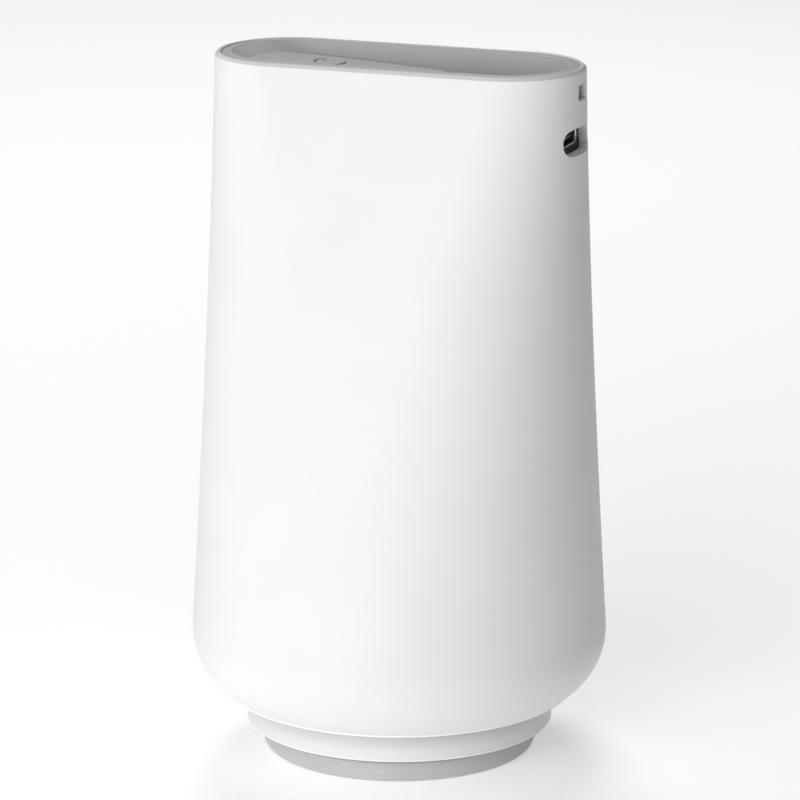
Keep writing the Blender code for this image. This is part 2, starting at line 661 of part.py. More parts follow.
def make_base():
    """The foot, the round base tub, the slotted inlet ring and the plate that the filter stands on."""
    pad = [
        (0, 0),
        (FOOT_BOTTOM_RADIUS - 0.6 * MM, 0),
        (FOOT_BOTTOM_RADIUS, 0.6 * MM),
        (FOOT_RADIUS, FOOT_HEIGHT),
        (FOOT_RADIUS - FOOT_RIM, FOOT_HEIGHT),
        (FOOT_RADIUS - FOOT_RIM, FOOT_FLOOR),
        (0, FOOT_FLOOR),
    ]
    turned("foot_pad", pad, SILICONE)
    step_radius = BASE_RADIUS - 0.65 * MM
    inner_radius = BASE_RADIUS - BASE_WALL
    tub = [
        (0, BASE_BOTTOM_Z),
        (BASE_RADIUS - 0.5 * MM, BASE_BOTTOM_Z),
        (BASE_RADIUS - 0.15 * MM, BASE_BOTTOM_Z + 0.15 * MM),
        (BASE_RADIUS, BASE_BOTTOM_Z + 0.5 * MM),
        (BASE_RADIUS, BASE_STEP_Z),
        (step_radius, BASE_STEP_Z),
        (step_radius, BASE_TOP_Z),
        (inner_radius, BASE_TOP_Z),
        (inner_radius, BASE_BOTTOM_Z + BASE_WALL),
        (0, BASE_BOTTOM_Z + BASE_WALL),
    ]
    base_ring = turned("base_ring", tub, WHITE)
    boss_foot = BASE_BOTTOM_Z + BASE_WALL - 0.5 * MM
    boss = ring_profile(BASE_SHANK_RADIUS + GAP, BASE_BOSS_RADIUS, boss_foot, BASE_TOP_Z)
    bosses = []
    for degrees in BASE_SCREW_ANGLES:
        at = polar(BASE_SCREW_RING_RADIUS, degrees)
        bosses.append(turned("boss", boss, WHITE, SMALL_STEPS, at))
    boolean(base_ring, joined("base_bosses", bosses), "UNION")
    make_inlet_grille(step_radius + GAP)
    make_filter_seat()
    top = SEAT_TOP_Z - SINK
    foot_z = BASE_TOP_Z - BASE_SCREW_LENGTH_BELOW
    for index, degrees in enumerate(BASE_SCREW_ANGLES, 1):
        at = polar(BASE_SCREW_RING_RADIUS, degrees)
        make_screw(f"base_screw_{index}", at, top, foot_z, BASE_SCREW_HEAD_RADIUS, BASE_SHANK_RADIUS)
    magnet = disc_profile(MAGNET_RADIUS, top - MAGNET_HEIGHT, top)
    for index, degrees in enumerate(MAGNET_ANGLES, 1):
        at = polar(MAGNET_RING_RADIUS, degrees)
        turned(f"base_magnet_{index}", magnet, STEEL, SMALL_STEPS, at)


def make_inlet_grille(inner_radius):
    """A flat ring of radial slots that fills the gap between the base and the shell's edge."""
    ring = ring_profile(inner_radius, GRILLE_OUTER_RADIUS, GRILLE_Z, GRILLE_Z + GRILLE_THICKNESS)
    grille = turned("inlet_grille", ring, WHITE, 2 * INLET_SLOTS)
    slot_radii = (inner_radius + GRILLE_RIM_WIDTH, GRILLE_OUTER_RADIUS - GRILLE_RIM_WIDTH)
    slot_y = (-INLET_SLOT_WIDTH / 2, INLET_SLOT_WIDTH / 2)
    slot_z = (GRILLE_Z - CUT, GRILLE_Z + GRILLE_THICKNESS + CUT)
    slots = []
    for index in range(INLET_SLOTS):
        slot = box("slot", slot_radii, slot_y, slot_z, WHITE)
        slot.data.transform(Matrix.Rotation(2 * pi * (index + 0.5) / INLET_SLOTS, 4, "Z"))
        slots.append(slot)
    boolean(grille, joined("inlet_slots", slots))


def make_filter_seat():
    """The plate screwed over the base tub, with a spigot that centres the filter."""
    plate = [
        (0, SEAT_Z),
        (SEAT_RADIUS, SEAT_Z),
        (SEAT_RADIUS, SEAT_TOP_Z),
        (SPIGOT_RADIUS, SEAT_TOP_Z),
        (SPIGOT_RADIUS, SEAT_TOP_Z + SPIGOT_HEIGHT),
        (0, SEAT_TOP_Z + SPIGOT_HEIGHT),
    ]
    seat = turned("filter_seat", plate, PALE)
    head_seat = SEAT_TOP_Z - HEAD_SINK_DEPTH
    hole = [
        (0, SEAT_Z - CUT),
        (BASE_SHANK_RADIUS + GAP, SEAT_Z - CUT),
        (BASE_SHANK_RADIUS + GAP, head_seat),
        (HEAD_SINK_RADIUS, head_seat),
        (HEAD_SINK_RADIUS, SEAT_TOP_Z + CUT),
        (0, SEAT_TOP_Z + CUT),
    ]
    pocket_floor = SEAT_TOP_Z - MAGNET_HEIGHT - POCKET_FLOOR_GAP
    pocket = disc_profile(MAGNET_RADIUS + GAP, pocket_floor, SEAT_TOP_Z + CUT)
    cutters = []
    for degrees in BASE_SCREW_ANGLES:
        at = polar(BASE_SCREW_RING_RADIUS, degrees)
        cutters.append(turned("hole", hole, WHITE, SMALL_STEPS, at))
    for degrees in MAGNET_ANGLES:
        at = polar(MAGNET_RING_RADIUS, degrees)
        cutters.append(turned("pocket", pocket, WHITE, SMALL_STEPS, at))
    boolean(seat, joined("seat_cutters", cutters))


def make_filter():
    """The filter cartridge: a pleated ring between two caps, a carbon tube inside and a net outside."""
    low, high = MEDIA_Z
    cap = [
        (0, FILTER_Z + SPIGOT_HEIGHT),
        (SPIGOT_RADIUS + GAP, FILTER_Z + SPIGOT_HEIGHT),
        (SPIGOT_RADIUS + GAP, FILTER_Z),
        (FILTER_CAP_RADIUS, FILTER_Z),
        (FILTER_CAP_RADIUS, FILTER_Z + FILTER_CAP_HEIGHT),
        (0, FILTER_Z + FILTER_CAP_HEIGHT),
    ]
    turned("filter_cap_bottom", cap, PALE)
    top_low = high + GAP
    top_high = top_low + FILTER_CAP_HEIGHT
    upper_cap = ring_profile(CAP_EYE_RADIUS, FILTER_CAP_RADIUS, top_low, top_high)
    turned("filter_cap_top", upper_cap, PALE)
    turned("carbon_core", ring_profile(*CARBON_RADII, low, high), CARBON, 36)
    turned("prefilter_sleeve", ring_profile(*SLEEVE_RADII, low, high), MESH)
    gasket = ring_profile(*GASKET_RADII, top_high + GAP, CHASSIS_Z[0] - GAP)
    turned("filter_gasket", gasket, FOAM, 36)
    outer = []
    inner = []
    for index in range(2 * PLEATS):
        angle = 180 * index / PLEATS
        outer.append(polar(PLEAT_RADII[index % 2], angle))
        inner.append(polar(MEDIA_INNER_RADIUS, angle))
    rings = []
    for outline, level in ((outer, low), (outer, high), (inner, high), (inner, low)):
        rings.append([(u, v, level) for u, v in outline])
    lofted("filter_media", rings, PAPER)


def make_seat_collar():
    """The ring inside the shell whose three tabs rest on the base and hold the upper magnets."""
    low = SEAT_TOP_Z + GAP
    collar = turned("seat_collar", ring_profile(*COLLAR_RADII, low, COLLAR_TOP_Z), INNER)
    pocket_roof = low + MAGNET_HEIGHT + POCKET_FLOOR_GAP
    pocket = disc_profile(MAGNET_RADIUS + GAP, low - CUT, pocket_roof)
    tabs = []
    pockets = []
    for degrees in MAGNET_ANGLES:
        tab_y = (-TAB_HALF_WIDTH, TAB_HALF_WIDTH)
        tab = box("tab", TAB_REACH, tab_y, (low, COLLAR_TOP_Z), INNER)
        tab.data.transform(Matrix.Rotation(radians(degrees), 4, "Z"))
        tabs.append(tab)
        at = polar(MAGNET_RING_RADIUS, degrees)
        pockets.append(turned("pocket", pocket, INNER, SMALL_STEPS, at))
    boolean(collar, joined("collar_tabs", tabs), "UNION")
    boolean(collar, joined("collar_pockets", pockets))
    magnet = disc_profile(MAGNET_RADIUS, low + SINK, low + SINK + MAGNET_HEIGHT)
    for index, degrees in enumerate(MAGNET_ANGLES, 1):
        at = polar(MAGNET_RING_RADIUS, degrees)
        turned(f"housing_magnet_{index}", magnet, STEEL, SMALL_STEPS, at)


# ---- fan and motor ----


def make_fan_case():
    """The chassis plate wedged in the shell's taper, the round fan case on it, and its cover."""
    edge = [(x, y) for x, y, _ in section(CHASSIS_Z[1], WALL + 0.4 * MM)]
    eye = stadium(INLET_RADIUS, INLET_RADIUS, points=SECTION_POINTS)
    rings = []
    for outline, level in ((edge, 0), (edge, 1), (eye, 1), (eye, 0)):
        rings.append([(u, v, CHASSIS_Z[level]) for u, v in outline])
    chassis = lofted("fan_chassis", rings, INNER)
    low, high = VOLUTE_Z
    inner_radius = VOLUTE_RADIUS - VOLUTE_WALL
    floor_top = low + 1.5 * MM
    case_profile = [
        (INLET_RADIUS + GAP, low),
        (VOLUTE_RADIUS, low),
        (VOLUTE_RADIUS, high),
        (inner_radius, high),
        (inner_radius, floor_top),
        (INLET_RADIUS + GAP, floor_top),
    ]
    case = turned("volute_case", case_profile, INNER)
    cover = turned("volute_cover", disc_profile(VOLUTE_RADIUS, *COVER_Z), INNER)
    opening = prism("cover_opening", outlet_outline(0), COVER_Z[0] - CUT, COVER_Z[1] + CUT, INNER)
    boolean(cover, opening)
    boss = disc_profile(FAN_BOSS_RADIUS, low + 1 * MM, high)
    bore = disc_profile(FAN_SHANK_RADIUS + GAP, CHASSIS_Z[0] - CUT, COVER_Z[1] + CUT)
    bosses = []
    bores = []
    for degrees in FAN_SCREW_ANGLES:
        at = polar(FAN_SCREW_RING_RADIUS, degrees)
        bosses.append(turned("boss", boss, INNER, SMALL_STEPS, at))
        bores.append(turned("bore", bore, INNER, SMALL_STEPS, at))
    boolean(case, joined("case_bosses", bosses), "UNION")
    bore_cutter = joined("fan_bores", bores)
    for target in (chassis, case, cover):
        boolean(target, bore_cutter)
    head_z = COVER_Z[1] + GAP + FAN_SCREW_HEAD_HEIGHT
    screw_size = (FAN_SCREW_HEAD_RADIUS, FAN_SHANK_RADIUS, FAN_SCREW_HEAD_HEIGHT)
    for index, degrees in enumerate(FAN_SCREW_ANGLES, 1):
        at = polar(FAN_SCREW_RING_RADIUS, degrees)
        make_screw(f"fan_screw_{index}", at, head_z, CHASSIS_Z[0] + GAP, *screw_size)


def make_motor():
    """A motor hung from the fan case's cover: base, bearing tube, core, bearings, can and shaft."""
    plate_top = COVER_Z[0] - GAP
    tube_roof = plate_top - 1 * MM
    tube_inner, tube_outer = BEARING_TUBE_RADII
    base = [
        (0, plate_top),
        (MOTOR_PLATE_RADIUS, plate_top),
        (MOTOR_PLATE_RADIUS, MOTOR_PLATE_Z),
        (tube_outer, MOTOR_PLATE_Z),
        (tube_outer, BEARING_TUBE_FOOT),
        (tube_inner, BEARING_TUBE_FOOT),
        (tube_inner, tube_roof),
        (0, tube_roof),
    ]
    turned("motor_base", base, STEEL, 32)
    bearing_radii = (SHAFT_RADIUS + BEARING_BORE_GAP, tube_inner - GAP)
    for name, foot in zip(("bearing_lower", "bearing_upper"), BEARING_FEET):
        turned(name, ring_profile(*bearing_radii, foot, foot + BEARING_HEIGHT), STEEL, 24)
    turned("motor_shaft", disc_profile(SHAFT_RADIUS, *SHAFT_Z), STEEL, SMALL_STEPS)
    can = [
        (SHAFT_RADIUS + GAP, CAN_Z[0]),
        (CAN_RADII[1], CAN_Z[0]),
        (CAN_RADII[1], CAN_Z[1]),
        (CAN_RADII[0], CAN_Z[1]),
        (CAN_RADII[0], CAN_Z[0] + CAN_FLOOR),
        (SHAFT_RADIUS + GAP, CAN_Z[0] + CAN_FLOOR),
    ]
    turned("rotor_can", can, STEEL, 32)
    outer = []
    inner = []
    steps_per_tooth = 4
    for index in range(STATOR_TEETH * steps_per_tooth):
        angle = 360 * index / (STATOR_TEETH * steps_per_tooth)
        outer.append(polar(STATOR_RADII[index % steps_per_tooth < 2], angle))
        inner.append(polar(tube_outer + GAP, angle))
    rings = []
    for outline, end in ((outer, 0), (outer, 1), (inner, 1), (inner, 0)):
        rings.append([(u, v, STATOR_Z[end]) for u, v in outline])
    lofted("motor_stator", rings, COPPER)


def blade_point(index, share):
    """A point on a blade's middle line, which turns forward more and more on its way out."""
    radius = BLADE_INNER_RADIUS + (BLADE_OUTER_RADIUS - BLADE_INNER_RADIUS) * share
    return Vector(polar(radius, 360 * index / BLADES + BLADE_SWEEP * share**2))


def blade(index):
    """One forward-curved blade, of even thickness along its middle line."""
    steps = 3
    front = []
    back = []
    for step in range(steps + 1):
        share = step / steps
        along = (blade_point(index, share + 0.01) - blade_point(index, share - 0.01)).normalized()
        side = along.orthogonal() * BLADE_THICKNESS / 2
        front.append(blade_point(index, share) + side)
        back.append(blade_point(index, share) - side)
    blade_z = (IMPELLER_Z[0] + 0.5 * MM, IMPELLER_Z[1] - 0.8 * MM)
    return prism("blade", front + back[::-1], *blade_z, PALE)


def make_impeller():
    """The blower wheel: hub cup, back plate, the blades under it and a ring that ties their feet."""
    low, high = IMPELLER_Z
    hub_wall = 1.5 * MM
    hub_foot = low + 0.7 * MM
    hub = [
        (0, hub_foot),
        (HUB_RADIUS - hub_wall, hub_foot),
        (HUB_RADIUS, hub_foot + hub_wall),
        (HUB_RADIUS, high - hub_wall),
        (IMPELLER_RADIUS, high - hub_wall),
        (IMPELLER_RADIUS, high),
        (CAN_CLEARANCE_RADIUS, high),
        (CAN_CLEARANCE_RADIUS, hub_foot + hub_wall),
        (0, hub_foot + hub_wall),
    ]
    wheel = turned("impeller", hub, PALE, 40)
    foot_ring_inner = IMPELLER_RADIUS - FOOT_RING_WIDTH
    foot_ring = ring_profile(foot_ring_inner, IMPELLER_RADIUS, low, low + FOOT_RING_HEIGHT)
    blades = [blade(index) for index in range(BLADES)]
    boolean(wheel, joined("impeller_blades", blades), "UNION")
    boolean(wheel, turned("impeller_foot_ring", foot_ring, PALE, 40), "UNION")


# ---- battery, boards and port ----


def make_posts():
    """Three posts that tie the fan case to the tray."""
    side_z = (COVER_Z[1] + GAP, SIDE_POST_TOP)
    x, y = SIDE_POST_AT
    places = (((END_POST_X, 0), END_POST_Z), ((x, y), side_z), ((x, -y), side_z))
    for index, (at, levels) in enumerate(places, 1):
        turned(f"tie_post_{index}", disc_profile(POST_RADIUS, *levels), STEEL, SMALL_STEPS, at)


def make_battery():
    """The battery pouch in its cradle, with the main board on the cradle's other side."""
    cell_middle = (CELL_X[0] + CELL_X[1]) / 2
    cell_half = (CELL_X[1] - CELL_X[0]) / 2
    cell = rounded_box(cell_half, CELL_HALF_WIDTH, CELL_CORNER, (cell_middle, 0))
    prism("battery_cell", cell, *CELL_Z, POUCH)
    back_x = (CELL_X[1] + GAP, CELL_X[1] + GAP + CRADLE_WALL)
    low = COVER_Z[1] + GAP
    high = CELL_Z[1] + GAP + CRADLE_WALL
    side = [
        (CELL_X[0], low),
        (back_x[1], low),
        (back_x[1], high),
        (CELL_X[0], high),
        (CELL_X[0], high - CRADLE_WALL),
        (back_x[0], high - CRADLE_WALL),
        (back_x[0], low + CRADLE_WALL),
        (CELL_X[0], low + CRADLE_WALL),
    ]
    ends = [[(x, y, z) for x, z in side] for y in (-CRADLE_HALF_WIDTH, CRADLE_HALF_WIDTH)]
    lofted("battery_cradle", ends, INNER, ring_of_rings=False)
    board_low = back_x[1] + BOARD_STANDOFF
    board_x = (board_low, board_low + MAIN_BOARD_THICKNESS)
    box("main_board", board_x, MAIN_BOARD_Y, MAIN_BOARD_Z, BOARD)
    part_x = board_x[1] + GAP
    box("mcu_chip", (part_x, part_x + MCU_HEIGHT), MCU_Y, MCU_Z, CHIP)
    coil = rounded_box(INDUCTOR_HALF_WIDTH, INDUCTOR_HALF_WIDTH, 1 * MM, INDUCTOR_CENTRE, 2)
    prism("power_inductor", coil, part_x, part_x + INDUCTOR_HEIGHT, CHIP, "X")


def make_port():
    """The charging socket in its recess: bezel, metal shell, tongue and board."""
    core_rings = [section(z, WALL + GAP) for z in blend_steps(*BEZEL_CORE_Z, 5)]
    core = lofted("core", core_rings, BEZEL, ring_of_rings=False)
    block = port_outline(PORT_HALF_WIDTH + BEZEL_MARGIN, PORT_HALF_HEIGHT + BEZEL_MARGIN)
    bezel_back_x = PORT_FLOOR_X - BEZEL_BACK
    bezel = prism("port_bezel", block, bezel_back_x, TOP_HALF_LENGTH, BEZEL, "X")
    boolean(bezel, core, "INTERSECT")
    recess = port_outline(PORT_HALF_WIDTH, PORT_HALF_HEIGHT)
    recess_x = (PORT_FLOOR_X, TOP_HALF_LENGTH + 2 * MM)
    boolean(bezel, prism("recess_cutter", recess, *recess_x, BEZEL, "X"))
    margin_y, margin_z = SOCKET_HOLE_MARGIN
    hole = port_outline(SOCKET_HALF_WIDTH + margin_y, SOCKET_HALF_HEIGHT + margin_z)
    hole_x = (bezel_back_x - CUT, PORT_FLOOR_X + CUT)
    boolean(bezel, prism("socket_hole_cutter", hole, *hole_x, BEZEL, "X"))
    outer = port_outline(SOCKET_HALF_WIDTH, SOCKET_HALF_HEIGHT)
    inner = port_outline(SOCKET_HALF_WIDTH - SOCKET_SHEET, SOCKET_HALF_HEIGHT - SOCKET_SHEET)
    rings = []
    for outline, x in (
        (outer, SOCKET_BACK_X),
        (outer, SOCKET_MOUTH_X),
        (inner, SOCKET_MOUTH_X),
        (inner, SOCKET_BACK_X),
    ):
        rings.append([(x, u, v) for u, v in outline])
    lofted("usb_shell", rings, STEEL)
    tongue_z = (PORT_Z - TONGUE_HALF_HEIGHT, PORT_Z + TONGUE_HALF_HEIGHT)
    tongue_y = (-TONGUE_HALF_WIDTH, TONGUE_HALF_WIDTH)
    tongue_x = (SOCKET_BACK_X + 0.4 * MM, SOCKET_MOUTH_X - TONGUE_SINK)
    tongue = box("usb_tongue", tongue_x, tongue_y, tongue_z, CHIP)
    root_x = (SOCKET_BACK_X + 0.2 * MM, SOCKET_BACK_X + 1.6 * MM)
    root = prism("tongue_root", port_outline(*TONGUE_ROOT), *root_x, CHIP, "X")
    boolean(tongue, root, "UNION")
    board_top = PORT_Z - SOCKET_HALF_HEIGHT - PORT_BOARD_DROP
    board_x = (DUCT_X[1] + 1 * MM, bezel_back_x - GAP)
    board_y = (-PORT_BOARD_HALF_WIDTH, PORT_BOARD_HALF_WIDTH)
    box("usb_board", board_x, board_y, (board_top - BOARD_THICKNESS, board_top), BOARD)


def make_light():
    """The square light window on the +X end: a clear piece with a leg down to its light."""
    leg_x = (LENS_X[0], LENS_X[0] + LENS_LEG_THICKNESS)
    leg_y = (-LENS_LEG_HALF_WIDTH, LENS_LEG_HALF_WIDTH)
    lens = prism("indicator_lens", window_outline(GAP), *LENS_X, LENS, "X")
    leg = box("lens_leg", leg_x, leg_y, (LENS_LEG_FOOT, WINDOW_Z), LENS)
    boolean(lens, leg, "UNION")
    lamp_x = (leg_x[1] - LAMP_LENGTH, leg_x[1])
    lamp_y = (-LAMP_HALF_WIDTH, LAMP_HALF_WIDTH)
    lamp_top = LENS_LEG_FOOT - GAP
    box("indicator_led", lamp_x, lamp_y, (lamp_top - LAMP_HEIGHT, lamp_top), PALE)


def main():
    clear_scene()
    make_body_shell()
    make_top_tray()
    make_outlet_grille()
    make_outlet_duct()
    make_button_group()
    make_base()
    make_filter()
    make_seat_collar()
    make_fan_case()
    make_motor()
    make_impeller()
    make_posts()
    make_battery()
    make_port()
    make_light()


main()
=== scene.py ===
"""The looks of the small cordless air purifier: fine meshes, procedural finishes, studio and camera."""

import json
from math import asin, cos, pi, radians, sin, sqrt, tan

import bmesh
import bpy
from mathutils import Matrix, Vector


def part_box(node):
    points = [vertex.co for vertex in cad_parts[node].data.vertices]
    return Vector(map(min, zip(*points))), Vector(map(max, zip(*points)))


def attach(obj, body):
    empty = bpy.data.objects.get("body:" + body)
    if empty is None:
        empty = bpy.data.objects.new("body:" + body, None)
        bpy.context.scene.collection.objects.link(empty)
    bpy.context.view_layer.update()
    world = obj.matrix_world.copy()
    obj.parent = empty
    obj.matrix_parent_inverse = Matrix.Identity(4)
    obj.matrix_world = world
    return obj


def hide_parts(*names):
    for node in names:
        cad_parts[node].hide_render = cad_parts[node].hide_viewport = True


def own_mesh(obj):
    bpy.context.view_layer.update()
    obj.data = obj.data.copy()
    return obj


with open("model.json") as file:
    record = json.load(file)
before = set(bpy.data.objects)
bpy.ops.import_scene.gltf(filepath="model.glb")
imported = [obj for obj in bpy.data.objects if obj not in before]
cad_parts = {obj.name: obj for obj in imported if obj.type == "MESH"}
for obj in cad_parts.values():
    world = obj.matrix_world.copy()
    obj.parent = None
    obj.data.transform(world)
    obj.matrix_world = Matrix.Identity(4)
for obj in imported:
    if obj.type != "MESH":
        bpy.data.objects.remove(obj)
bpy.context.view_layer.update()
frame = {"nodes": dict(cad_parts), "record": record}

MM = 0.001
GAP = 0.3 * MM  # between neighbouring parts

# ---- outside of the housing: the CAD model's, apart from the raised rim and the land at its lower edge ----
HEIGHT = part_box("top_tray")[1].z
RIM_LIFT = 0.25 * MM  # how far the rim is drawn above the CAD shell, still below the lip
SHELL_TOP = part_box("body_shell")[1].z + RIM_LIFT
TOP_HALF_LENGTH = 39.0 * MM
TOP_END_RADIUS = 15.6 * MM
TOP_HALF_STRAIGHT = TOP_HALF_LENGTH - TOP_END_RADIUS
TOP_LEAN = 0.006  # slope of the two ends at the rim
STRAIGHT_FADE = 1.65  # how soon the straight sides shorten below the rim
BELLY_Z = 25.2 * MM
BELLY_RADIUS = 43.1 * MM
FLANK_LEAN = radians(3.3)
LOWER_ROUND = 14.8 * MM
LOWER_ROUND_END = radians(60)
EDGE_LAND = 0.35 * MM  # height of the upright land at the shell's lower edge
SHELL_FOOT_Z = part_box("body_shell")[0].z
WALL = 1.8 * MM
RIM_CHAMFER = 0.6 * MM
RIM_WIDTH = 1.15 * MM
REBATE_Z = 142.5 * MM
ROUND_CENTRE_RADIUS = BELLY_RADIUS - LOWER_ROUND
FLANK_END_Z = BELLY_Z + LOWER_ROUND * sin(FLANK_LEAN)
FLANK_END_RADIUS = ROUND_CENTRE_RADIUS + LOWER_ROUND * cos(FLANK_LEAN)
FLANK_HEIGHT = SHELL_TOP - FLANK_END_Z

# ---- tray ----
SEAM = 0.07 * MM
RIM_INNER = RIM_WIDTH + 0.09 * MM
TRAY_OUTER_INSET = RIM_INNER + SEAM
TRAY_SKIRT_INSET = 2.3 * MM
LIP_INNER_INSET = 3.6 * MM
FLOOR_EDGE_INSET = 4.6 * MM
FLOOR_END_SHORTENING = 3.3 * MM
FLOOR_DEPTH = 1.3 * MM
FLOOR_CROWN = 0.0105 / MM
FLOOR_END_FALL = 0.0035 / MM
FLOOR_END_X = -20.0 * MM
FLOOR_SLOPE = 0.055
FLOOR_SLOPE_START = -25.0 * MM
FLOOR_EASE = 7.0 * MM  # the slope starts and settles within this far of its start
FLOOR_THICKNESS = 1.5 * MM
FILLET_RADIUS = 0.55 * MM  # where the wall meets the floor
FILLET_FADE_X = -30.0 * MM  # the fillet shrinks towards here
FILLET_FADE_LENGTH = 12.0 * MM
FILLET_LEAST = 0.06  # share of the fillet that is left

# ---- port, light window, button and outlet; the port end's centres are (y, z) ----
PORT_CENTRE = (0, 130.9 * MM)
PORT_HALF = (7.7 * MM, 2.45 * MM)
WINDOW_CENTRE = (0, 140.6 * MM)
WINDOW_HALF = (2.3 * MM, 1.5 * MM)
WINDOW_ROUND = 0.3 * MM
SOCKET_HALF = (4.47 * MM, 1.63 * MM)
SOCKET_SHEET = 0.42 * MM
CONTACTS = 12  # on each side of the tongue
CONTACT_PITCH = 0.5 * MM
BUTTON_AT = (-14.9 * MM, 0)
BUTTON_RADIUS = 3.1 * MM
BUTTON_TOP = 143.4 * MM
MARK_ANGLE = radians(150)  # direction of the mark's upright from the button's middle
DUCT_WALL = 1.5 * MM
DUCT_LOW, DUCT_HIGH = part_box("outlet_duct")
OUTLET_CENTRE = ((DUCT_LOW.x + DUCT_HIGH.x) / 2, 0)
OUTLET_HALF = ((DUCT_HIGH.x - DUCT_LOW.x) / 2 - DUCT_WALL, DUCT_HIGH.y - DUCT_WALL)
OUTLET_SLOTS = 8

# ---- base and filter ----
BASE_STEP = 0.65 * MM  # how far the base ring steps in, to carry the inlet ring
INLET_SLOTS = 24
PLEATS = 72
PLEAT_POINTS = 8
PLEAT_DEPTH = 3.2 * MM
PLEAT_SHARPNESS = 0.7  # 1 makes each fold a cosine, and less makes it fuller
FILTER_BORE = 17.5 * MM
NET_THREADS = 64  # of each of the two families
NET_ROWS = 16
THREAD_RADIUS = 0.16 * MM
HEM_POINTS = 96

# ---- camera, read from the photo's perspective ----
VIEW_AZIMUTH = radians(19.81)
VIEW_ELEVATION = radians(14.66)
VIEW_DISTANCE = 0.965
AIM_Z = 73.44 * MM
AIM_SIDE = 0.14 * MM
SENSOR = 36.0
FOCAL_LENGTH = 210.6

# ---- studio ----
FLOOR_HALF = 6.0
FLOOR_Z = -0.02 * MM  # a hair under the sole, so that the two faces don't fight
FLOOR_GLOW = 0.35
WORLD_LEVEL = 0.06
LIGHT_DISTANCE = 1.3
LIGHT_WIDTH = 0.7
# name, azimuth from the camera in degrees (left is negative), elevation in degrees, watts
LIGHTS = (
    ("key_low", -40, 4, 5.2),
    ("front_low", -20, 4, 5.4),
    ("left_low", -60, 4, 1.0),
    ("front", -20, 25, 2.1),
    ("left_side", -115, 25, 1.5),
    ("left_high", -45, 50, 1.7),
    ("front_high", 0, 50, 1.3),
    ("back_high", 180, 50, 7.0),
)

# ---- fineness ----
AROUND = 256  # points round a housing section
STEPS = 192  # points round a turned piece
PORT_POINTS = 96  # points round the port's outlines
MERGE_DISTANCE = 0.0001 * MM


# ---- mesh tools ----


def shown(name, data):
    """Puts mesh, light or camera data into the scene as a new object."""
    obj = bpy.data.objects.new(name, data)
    bpy.context.scene.collection.objects.link(obj)
    return obj


def smoothed(mesh, sharp_degrees):
    mesh.shade_smooth()
    mesh.set_sharp_from_angle(angle=radians(sharp_degrees))


def linked(name, bm, mat, sharp_degrees=35):
    """Turns a bmesh into a smooth-shaded object with one material."""
    bmesh.ops.remove_doubles(bm, verts=bm.verts, dist=MERGE_DISTANCE)
    bmesh.ops.recalc_face_normals(bm, faces=bm.faces)
    mesh = bpy.data.meshes.new(name)
    bm.to_mesh(mesh)
    bm.free()
    smoothed(mesh, sharp_degrees)
    mesh.materials.append(mat)
    return shown(name, mesh)


def skinned(name, rings, mat, closed=True, sharp_degrees=35):
    """Skins rings of equally many points, in a closed loop or capped at both ends."""
    bm = bmesh.new()
    loops = [[bm.verts.new(point) for point in ring] for ring in rings]
    pairs = list(zip(loops, loops[1:]))
    if closed:
        pairs.append((loops[-1], loops[0]))
    for low, high in pairs:
        for index in range(len(low)):
            following = (index + 1) % len(low)
            bm.faces.new((low[index], low[following], high[following], high[index]))
    if not closed:
        bm.faces.new(loops[0])
        bm.faces.new(loops[-1])
    return linked(name, bm, mat, sharp_degrees)


def rounded(points, radii, steps=5, closed=True):
    """A polyline of (u, v) points with each corner rounded to its radius."""
    if not isinstance(radii, (list, tuple)):
        radii = [radii] * len(points)
    result = []
    count = len(points)
    for index, point in enumerate(points):
        here = Vector(point)
        at_end = not closed and index in (0, count - 1)
        if at_end or radii[index] <= 0:
            result.append(tuple(here))
            continue
        before = (Vector(points[index - 1]) - here).normalized()
        after = (Vector(points[(index + 1) % count]) - here).normalized()
        opening = before.angle(after)
        if opening > radians(179):
            result.append(tuple(here))
            continue
        reach = radii[index] / tan(opening / 2)
        centre = here + (before + after).normalized() * radii[index] / sin(opening / 2)
        start = here + before * reach - centre
        end = here + after * reach - centre
        turn = start.angle_signed(end)
        for step in range(steps + 1):
            angle = -turn * step / steps
            x = start.x * cos(angle) - start.y * sin(angle)
            y = start.x * sin(angle) + start.y * cos(angle)
            result.append((centre.x + x, centre.y + y))
    return result


def softened(corners, steps, closed=False):
    """A rounded polyline from (u, v, rounding) corners."""
    points = [(u, v) for u, v, _ in corners]
    return rounded(points, [rounding for _, _, rounding in corners], steps, closed)


def turned(name, profile, mat, steps=STEPS, centre=(0, 0)):
    """Spins a profile of (radius, z) points, and joins its ends unless both lie on the axis."""
    bm = bmesh.new()
    verts = [bm.verts.new((radius, 0, z)) for radius, z in profile]
    edges = [bm.edges.new(pair) for pair in zip(verts, verts[1:])]
    if profile[0][0] > 0 or profile[-1][0] > 0:
        edges.append(bm.edges.new((verts[-1], verts[0])))
    circle = {"cent": (0, 0, 0), "axis": (0, 0, 1), "angle": 2 * pi}
    bmesh.ops.spin(bm, geom=verts + edges, steps=steps, use_merge=True, **circle)
    bmesh.ops.translate(bm, verts=bm.verts, vec=(*centre, 0))
    return linked(name, bm, mat)


def stadium(half_width, half_height, centre=(0, 0), points=64):
    """A closed outline of two half circles joined by straight sides."""
    straight = half_width - half_height
    outline = []
    for index in range(points):
        angle = 2 * pi * (index + 0.5) / points
        shift = straight if cos(angle) > 0 else -straight
        u = centre[0] + shift + half_height * cos(angle)
        outline.append((u, centre[1] + half_height * sin(angle)))
    return outline


def rounded_box(half_width, half_height, radius, centre=(0, 0), corner_points=6):
    """A closed outline of a rectangle with rounded corners."""
    corners = []
    for side_u, side_v in ((1, -1), (1, 1), (-1, 1), (-1, -1)):
        corners.append((centre[0] + side_u * half_width, centre[1] + side_v * half_height))
    return rounded(corners, radius, corner_points)


